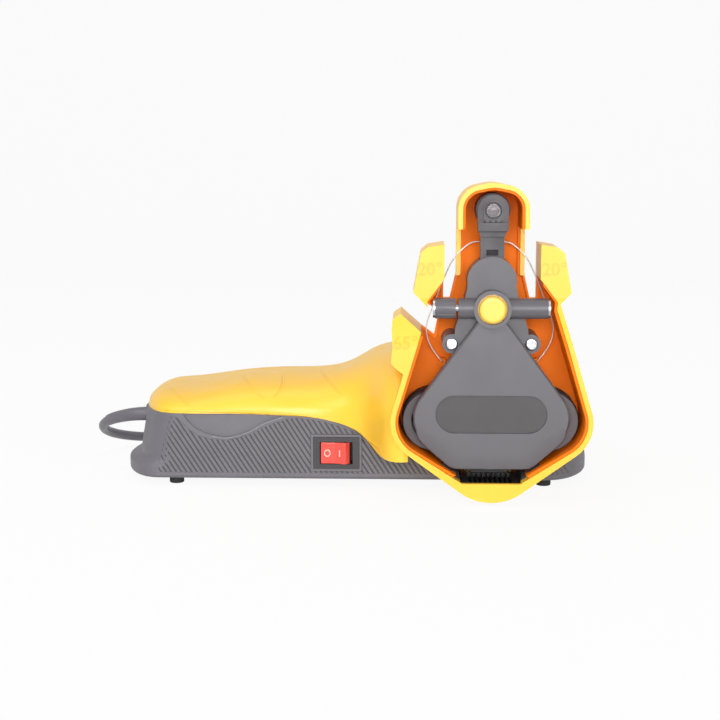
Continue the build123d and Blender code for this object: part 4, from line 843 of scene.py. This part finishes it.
# ---------------------------------------------------------------- tension arm
# section of the raised ring round the axle: radius, and depth behind the boss's front
BOSS_RING = ((3.75, 0.1), (3.65, -0.28), (3.2, -0.28), (3.1, 0.1))
ARM_DOTS = (-3.6, -1.2, 1.2, 3.6)
ARM_DOTS_Z = 124.35
ARM_DOT = ((0.02, 0.3), (0.02, -0.55), (0.34, -0.4), (0.5, -0.1), (0.5, 0.3))
# section of the nut with its dished face: radius, and depth behind the axle's front
NUT = ((2.82, 0.2), (2.74, -0.3), (2.1, -0.34), (2.0, -0.06), (1.5, -0.06), (1.42, -0.4), (0.02, -0.48),
       (0.02, 0.2))
# dark block that fills the arm's slot as painted shade
SLOT_SHADE = rectangle(HEAD_X - 2.55, 109.25, HEAD_X + 2.55, 111.75)
SLOT_SHADE_DEPTHS = (0.9, 2.2)


def turned_section(profile, y_front):
    """Section of a turned ring whose depths are given from y_front."""
    return [(radius, y_front + back) for radius, back in profile]


def arm_trim():
    """Raised ring round the idler's axle and the row of dots under it."""
    shape = Shape()
    shape.turned(HEAD_X, IDLER_Z, turned_section(BOSS_RING, ARM_BOSS_Y))
    for x in ARM_DOTS:
        shape.turned(HEAD_X + x, ARM_DOTS_Z, turned_section(ARM_DOT, ARM_BOSS_Y), count=14)
    shape.place("arm_ring_and_dots", "arm", "arm", "black_plastic", smooth=True)


def axle_nut():
    """Dished nut on the end of the idler's axle."""
    shape = Shape()
    shape.turned(HEAD_X, IDLER_Z, turned_section(NUT, lowest("idler_axle", Y)))
    shape.place("axle_nut", "nut", "arm", "steel")


def arm_slot_shade():
    """Dark block inside the slot of the arm's stem: painted shade in the slot."""
    shape = Shape()
    shape.prism(SLOT_SHADE, ARM_Y + SLOT_SHADE_DEPTHS[0], ARM_Y + SLOT_SHADE_DEPTHS[1])
    shape.place("arm_slot_shade", "painted_shade", "arm", "black_plastic")


class SHARPENER_OT_arm(bpy.types.Operator):
    """Finish the belt tension arm and its idler"""
    bl_idname = "sharpener.arm"
    bl_label = "Tension arm and idler"

    def execute(self, context):
        finish_nodes("arm", "tension_arm")
        finish_nodes("wheel", "idler_pulley")
        finish_nodes("bronze", "idler_bush")
        finish_nodes("steel", "idler_axle")
        shortening_spring("arm_spring", Z, "low")
        arm_trim()
        axle_nut()
        arm_slot_shade()
        return {"FINISHED"}


# ---------------------------------------------------------------- wheels
class SHARPENER_OT_wheels(bpy.types.Operator):
    """Finish the belt wheels and the gears that turn them"""
    bl_idname = "sharpener.wheels"
    bl_label = "Wheels and gears"

    def execute(self, context):
        for side in ("left", "right"):
            finish_nodes("wheel", side + "_wheel_hub")
            finish_nodes("band", side + "_tyre")
            finish_nodes("bronze", side + "_wheel_bush")
            finish_nodes("black", side + "_wheel_gear")
            finish_nodes("steel", side + "_wheel_axle")
        finish_nodes("black", "motor_gear")
        return {"FINISHED"}


# ---------------------------------------------------------------- motor and wiring
class SHARPENER_OT_works(bpy.types.Operator):
    """Finish the motor, its bracket, the board, the leads, the feet and the hidden fasteners"""
    bl_idname = "sharpener.works"
    bl_label = "Motor and wiring"

    def execute(self, context):
        finish_nodes("can", "motor_can", "motor_bracket")
        finish_nodes("black", "motor_end_cap", "cord_clamp")
        finish_nodes("magnet", "motor_magnets")
        finish_nodes("copper", "motor_rotor")
        finish_nodes("steel", "motor_screws", "base_screws")
        finish_nodes("board", "power_board")
        finish_nodes("lead", "motor_leads")
        finish_nodes("rubber", "rubber_feet")
        return {"FINISHED"}


# ---------------------------------------------------------------- switch
# section of the level rocker about its pivot: shallow V face, rounded end and narrow foot
ROCKER_SIDE = ((-6.6, -4.2), (0.0, -3.1), (4.3, -3.9), (5.2, -3.7), (6.6, -1.6), (6.3, 1.0), (3.0, 5.0),
               (-3.0, 5.0), (-6.3, 1.0))
ROCKER_TILT = math.radians(-10)
ROCKER_HALF = 5.0            # half the rocker's height
PIVOT_Y = TUB_Y + 1.6
MARK_RISE = 0.05             # marks stand this proud of the rocker and are let in as far
OFF_X = SWITCH_X - 4.1       # middle of the off mark, a ring
OFF_SECTION = ((1.75, MARK_RISE), (1.25, MARK_RISE), (1.25, -MARK_RISE), (1.75, -MARK_RISE))
OFF_SQUEEZE = 0.86           # width of the off mark over its height
ON_MARK = rectangle(SWITCH_X + 1.34, SWITCH_Z - 1.6, SWITCH_X + 1.86, SWITCH_Z + 1.6)


def rocker_cap():
    """Rocker with a shallow V face and a rounded-off end."""
    cos, sin = math.cos(ROCKER_TILT), math.sin(ROCKER_TILT)
    side = [(SWITCH_X + x * cos - y * sin, PIVOT_Y + x * sin + y * cos) for x, y in ROCKER_SIDE]
    shape = Shape()
    shape.rings([[(x, y, SWITCH_Z + z) for x, y in side] for z in (-ROCKER_HALF, ROCKER_HALF)])
    piece = shape.place("rocker_cap", "rocker", "rocker", "switch_red")
    soften_edges(piece, 0.35, 3)
    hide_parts("switch_rocker")
    return piece


def switch_marks(surface):
    """Off and on marks printed on the two faces of the rocker."""
    shape = Shape()
    off = []
    for angle in angles(28):
        ring = []
        for radius, rise in OFF_SECTION:
            x = OFF_X + radius * math.cos(angle) * OFF_SQUEEZE
            z = SWITCH_Z + radius * math.sin(angle)
            ring.append((x, depth_at(surface, x, z) - rise, z))
        off.append(ring)
    shape.rings(off, closed=True)
    shape.rings([[(x, depth_at(surface, x, z) + sink, z) for x, z in ON_MARK]
                 for sink in (-MARK_RISE, MARK_RISE)])
    shape.place("switch_marks", "marking", "rocker", "switch_red")


class SHARPENER_OT_switch(bpy.types.Operator):
    """Finish the rocker switch and mark its two ends"""
    bl_idname = "sharpener.switch"
    bl_label = "Switch"

    def execute(self, context):
        finish_nodes("bezel", "switch_body")
        switch_marks(surface_of(rocker_cap().data))
        return {"FINISHED"}


# ---------------------------------------------------------------- cord
# where the cord runs, in mm: out of the gland, round behind the tub and on to its coil
ROUTE = (
    (-94.2, 18.5, 27.0), (-109.6, 18.5, 27.0), (-123.0, 25.6, 23.2), (-130.1, 37.1, 17.3),
    (-130.1, 59.9, 9.4), (-118.5, 75.5, 4.4), (-97.5, 87.5, 2.4), (-69.5, 92.2, 2.4),
)
COIL_CENTRE = (-30.0, 118.0)
COIL_COLUMNS = 5
COIL_LAYERS = 2
POINTS_PER_TURN = 16
CONTROL_GROWTH = 1.0194      # the control points of a turn stand this much outside its line
COIL_ENTRY = -106.0          # where the cord meets its outermost turn, in degrees
COIL_EXIT = -90.0
COLUMN_SHIFT = 60.0          # last degrees of a turn, over which it moves to the next column
PLUG_LINE = ((-22.0, 82.4, 7.2), (-15.0, 82.4, 7.2))


def smooth_step(value):
    """Smooth rise from 0 to 1."""
    value = max(0.0, min(1.0, value))
    return value * value * (3 - 2 * value)


def coil_points(radius, diameter):
    """Control points of the turns: inwards on the bottom layer, outwards on the next."""
    turns = COIL_COLUMNS * COIL_LAYERS
    half = (COIL_COLUMNS - 1) / 2
    columns = [half - k for k in range(COIL_COLUMNS)] + [k - half for k in range(COIL_COLUMNS)]
    sweep = 360 * turns + COIL_EXIT - COIL_ENTRY
    step = 360 / POINTS_PER_TURN
    points = []
    travelled = step / 2
    while travelled < sweep - step / 4:
        turn = min(int(travelled // 360), turns - 1)
        following = min(turn + 1, turns - 1)
        shift = smooth_step((travelled - 360 * (turn + 1) + COLUMN_SHIFT) / COLUMN_SHIFT)
        column = columns[turn] + (columns[following] - columns[turn]) * shift
        layers = [index // COIL_COLUMNS for index in (turn, following)]
        layer = layers[0] + (layers[1] - layers[0]) * shift
        reach = (radius + column * diameter) * CONTROL_GROWTH
        angle = math.radians(COIL_ENTRY + travelled)
        x, y = COIL_CENTRE[0] + reach * math.cos(angle), COIL_CENTRE[1] + reach * math.sin(angle)
        points.append((x, y, diameter * (0.5 + layer)))
        travelled += step
    return points


def cord_curve(name, points, radius):
    """Round curve along a smooth line with those control points, in mm."""
    curve = bpy.data.curves.new(name, "CURVE")
    curve.dimensions = "3D"
    spline = curve.splines.new("NURBS")
    spline.points.add(len(points) - 1)
    for target, point in zip(spline.points, points):
        target.co = (*[value * MM for value in point], 1)
    spline.order_u = 3
    spline.use_endpoint_u = True
    spline.resolution_u = 8
    curve.bevel_depth = radius * MM
    curve.bevel_resolution = 5
    curve.use_fill_caps = True
    return curve


def cord_length(cord):
    """Length of a cord along its own line, in metres."""
    plain = cord.data.copy()
    plain.bevel_depth = 0.0
    stand_in = bpy.data.objects.new("line", plain)
    bpy.context.scene.collection.objects.link(stand_in)
    bpy.context.view_layer.update()
    mesh = bpy.data.meshes.new_from_object(stand_in.evaluated_get(bpy.context.evaluated_depsgraph_get()))
    line = [vertex.co for vertex in mesh.vertices]
    length = sum((after - before).length for before, after in zip(line, line[1:]))
    bpy.data.objects.remove(stand_in)
    bpy.data.curves.remove(plain)
    bpy.data.meshes.remove(mesh)
    return length


class SHARPENER_OT_cord(bpy.types.Operator):
    """Lay the mains cord from the base to its stored coil and plug"""
    bl_idname = "sharpener.cord"
    bl_label = "Cord"

    def execute(self, context):
        sizes = context.scene.sharpener_sizes
        diameter = sizes.cord_diameter / MM
        points = [*ROUTE, *coil_points(sizes.coil_radius / MM, diameter), *PLUG_LINE]
        cord = bpy.data.objects.new("mains_cord", cord_curve("mains_cord", points, diameter / 2))
        bpy.context.scene.collection.objects.link(cord)
        cord.data.materials.append(FINISHES["cord"])
        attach(cord, "housing")
        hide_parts("power_cord", "cord_coil")
        finish_nodes("black", "cord_tie")
        finish_nodes("cord", "cord_plug", "cord_gland")
        finish_nodes("brass", "plug_pins")
        cord_length(cord)
        return {"FINISHED"}


# ---------------------------------------------------------------- stage, in metres
SWEEP_HALF = 3.0             # half the width of the floor and backdrop
SWEEP_FRONT = -2.0
SWEEP_BEND = 1.2             # where the floor starts to turn up
SWEEP_R = 0.8
SWEEP_TOP = 3.0
PAPER = (0.93, 0.93, 0.93, 1)
PAPER_WHITE = 0.92           # share of plain white in the paper, as the camera sees it
WHITE = (1, 1, 1, 1)
WORLD_STRENGTH = 0.16
# name, place, what it points at, width, height and watts
LAMPS = (
    ("key_light", (-0.75, -0.95, 1.15), (0.0, 0.0, 0.06), 0.9, 0.9, 9.0),
    ("fill_light", (1.05, -1.1, 0.6), (0.05, 0.0, 0.06), 0.9, 0.9, 2.0),
    ("front_light", (0.08, -1.9, 0.42), (0.04, 0.0, 0.07), 1.0, 0.7, 26.0),
    ("top_light", (0.0, 0.1, 1.4), (0.0, 0.0, 0.05), 1.1, 0.9, 5.0),
)
CAMERA_PLACE = (0.027741, -0.700422, 0.152908)
CAMERA_LENS = 74.70
CAMERA_DIP = math.radians(7.824)
CAMERA_TURN = math.radians(2.107)


def seen_amount(tree, share):
    """The given share for camera, mirror and glass rays, and nothing for any other ray."""
    path = tree.nodes.new("ShaderNodeLightPath")
    amount = path.outputs["Is Camera Ray"]
    for ray in ("Is Glossy Ray", "Is Transmission Ray"):
        either = tree.nodes.new("ShaderNodeMath")
        either.operation = "MAXIMUM"
        link(tree, amount, either.inputs[0])
        link(tree, path.outputs[ray], either.inputs[1])
        amount = either.outputs[0]
    scaled = tree.nodes.new("ShaderNodeMath")
    scaled.operation = "MULTIPLY"
    scaled.inputs[1].default_value = share
    link(tree, amount, scaled.inputs[0])
    return scaled.outputs[0]


def seen_white(tree, surface, white, share):
    """A white shader mixed over a lit one for the rays that show the background."""
    mix = tree.nodes.new("ShaderNodeMixShader")
    link(tree, seen_amount(tree, share), mix.inputs["Fac"])
    link(tree, surface, mix.inputs[1])
    link(tree, white, mix.inputs[2])
    return mix.outputs[0]


def studio_paper():
    """Matt white paper that looks nearly plain white and still takes a shadow."""
    material, tree, shader = new_material("studio paper")
    shader.inputs["Base Color"].default_value = PAPER
    shader.inputs["Roughness"].default_value = 0.9
    shader.inputs["Specular IOR Level"].default_value = 0.1
    glow = tree.nodes.new("ShaderNodeEmission")
    link(tree, seen_white(tree, shader.outputs[0], glow.outputs[0], PAPER_WHITE),
         tree.nodes["Material Output"].inputs["Surface"])
    return material


def studio_sweep():
    """Floor that turns up into a backdrop behind the sharpener."""
    profile = [(SWEEP_FRONT, 0.0), (SWEEP_BEND, 0.0)]
    for step in range(1, 13):
        angle = math.pi / 2 * step / 12
        profile.append((SWEEP_BEND + SWEEP_R * math.sin(angle), SWEEP_R - SWEEP_R * math.cos(angle)))
    profile.append((SWEEP_BEND + SWEEP_R, SWEEP_TOP))
    points = [(x, y, z) for y, z in profile for x in (-SWEEP_HALF, SWEEP_HALF)]
    faces = [[2 * k, 2 * k + 1, 2 * k + 3, 2 * k + 2] for k in range(len(profile) - 1)]
    mesh = bpy.data.meshes.new("studio_sweep")
    mesh.from_pydata(points, [], faces)
    mesh.materials.append(studio_paper())
    for polygon in mesh.polygons:
        polygon.use_smooth = True
    floor = bpy.data.objects.new("studio_sweep", mesh)
    bpy.context.scene.collection.objects.link(floor)


def studio_world(scene):
    """Faint even light all round, which looks white behind the sharpener."""
    world = bpy.data.worlds.new("studio world")
    world.use_nodes = True
    scene.world = world
    tree = world.node_tree
    ambient = tree.nodes["Background"]
    ambient.inputs["Color"].default_value = WHITE
    ambient.inputs["Strength"].default_value = WORLD_STRENGTH
    white = tree.nodes.new("ShaderNodeBackground")
    white.inputs["Color"].default_value = WHITE
    link(tree, seen_white(tree, ambient.outputs[0], white.outputs[0], 1.0),
         tree.nodes["World Output"].inputs["Surface"])


def add_lamp(name, place, target, width, height, watts):
    """Rectangular lamp that points at a target."""
    data = bpy.data.lights.new(name, "AREA")
    data.shape = "RECTANGLE"
    data.size = width
    data.size_y = height
    data.energy = watts
    lamp = bpy.data.objects.new(name, data)
    bpy.context.scene.collection.objects.link(lamp)
    lamp.location = place
    lamp.rotation_euler = (Vector(target) - Vector(place)).to_track_quat("-Z", "Y").to_euler()


def add_camera(scene):
    """Camera in front of the sharpener, a little above it and turned slightly to the left."""
    camera = bpy.data.objects.new("camera", bpy.data.cameras.new("camera"))
    scene.collection.objects.link(camera)
    camera.data.lens = CAMERA_LENS
    camera.data.sensor_width = 36.0
    camera.data.dof.use_dof = False
    camera.data.clip_end = 20.0
    camera.location = CAMERA_PLACE
    camera.rotation_euler = (math.pi / 2 - CAMERA_DIP, 0.0, CAMERA_TURN)
    scene.camera = camera


class SHARPENER_OT_stage(bpy.types.Operator):
    """Build the floor, the backdrop, the lamps and the camera"""
    bl_idname = "sharpener.stage"
    bl_label = "Stage"

    def execute(self, context):
        context.scene.view_settings.view_transform = "Standard"
        studio_sweep()
        studio_world(context.scene)
        for lamp in LAMPS:
            add_lamp(*lamp)
        add_camera(context.scene)
        return {"FINISHED"}


# ---------------------------------------------------------------- add-on
OPERATORS = (
    SHARPENER_OT_stage, SHARPENER_OT_cord, SHARPENER_OT_base, SHARPENER_OT_grip, SHARPENER_OT_head,
    SHARPENER_OT_drive, SHARPENER_OT_arm, SHARPENER_OT_wheels, SHARPENER_OT_works, SHARPENER_OT_switch,
)


class SHARPENER_PT_panel(bpy.types.Panel):
    """Pieces of the knife sharpener"""
    bl_idname = "SHARPENER_PT_panel"
    bl_label = "Knife sharpener"
    bl_space_type = "VIEW_3D"
    bl_region_type = "UI"
    bl_category = "Sharpener"

    def draw(self, context):
        for operator in OPERATORS:
            self.layout.operator(operator.bl_idname)
        for group in (context.scene.sharpener_colours, context.scene.sharpener_sizes):
            for name in group.__annotations__:
                self.layout.prop(group, name)


CLASSES = (SharpenerColours, SharpenerSizes, *OPERATORS, SHARPENER_PT_panel)


def register():
    """Adds the classes, and the settings to the scene."""
    for item in CLASSES:
        bpy.utils.register_class(item)
    bpy.types.Scene.sharpener_colours = bpy.props.PointerProperty(type=SharpenerColours)
    bpy.types.Scene.sharpener_sizes = bpy.props.PointerProperty(type=SharpenerSizes)


def unregister():
    """Takes the settings and the classes away again."""
    del bpy.types.Scene.sharpener_sizes
    del bpy.types.Scene.sharpener_colours
    for item in reversed(CLASSES):
        bpy.utils.unregister_class(item)


def main():
    """Builds the stage and every piece."""
    register()
    make_finishes(bpy.context.scene.sharpener_colours)
    bpy.ops.sharpener.stage()
    bpy.ops.sharpener.cord()
    bpy.ops.sharpener.base()
    bpy.ops.sharpener.grip()
    bpy.ops.sharpener.head()
    bpy.ops.sharpener.drive()
    bpy.ops.sharpener.arm()
    bpy.ops.sharpener.wheels()
    bpy.ops.sharpener.works()
    bpy.ops.sharpener.switch()


if __name__ == "__main__":
    main()
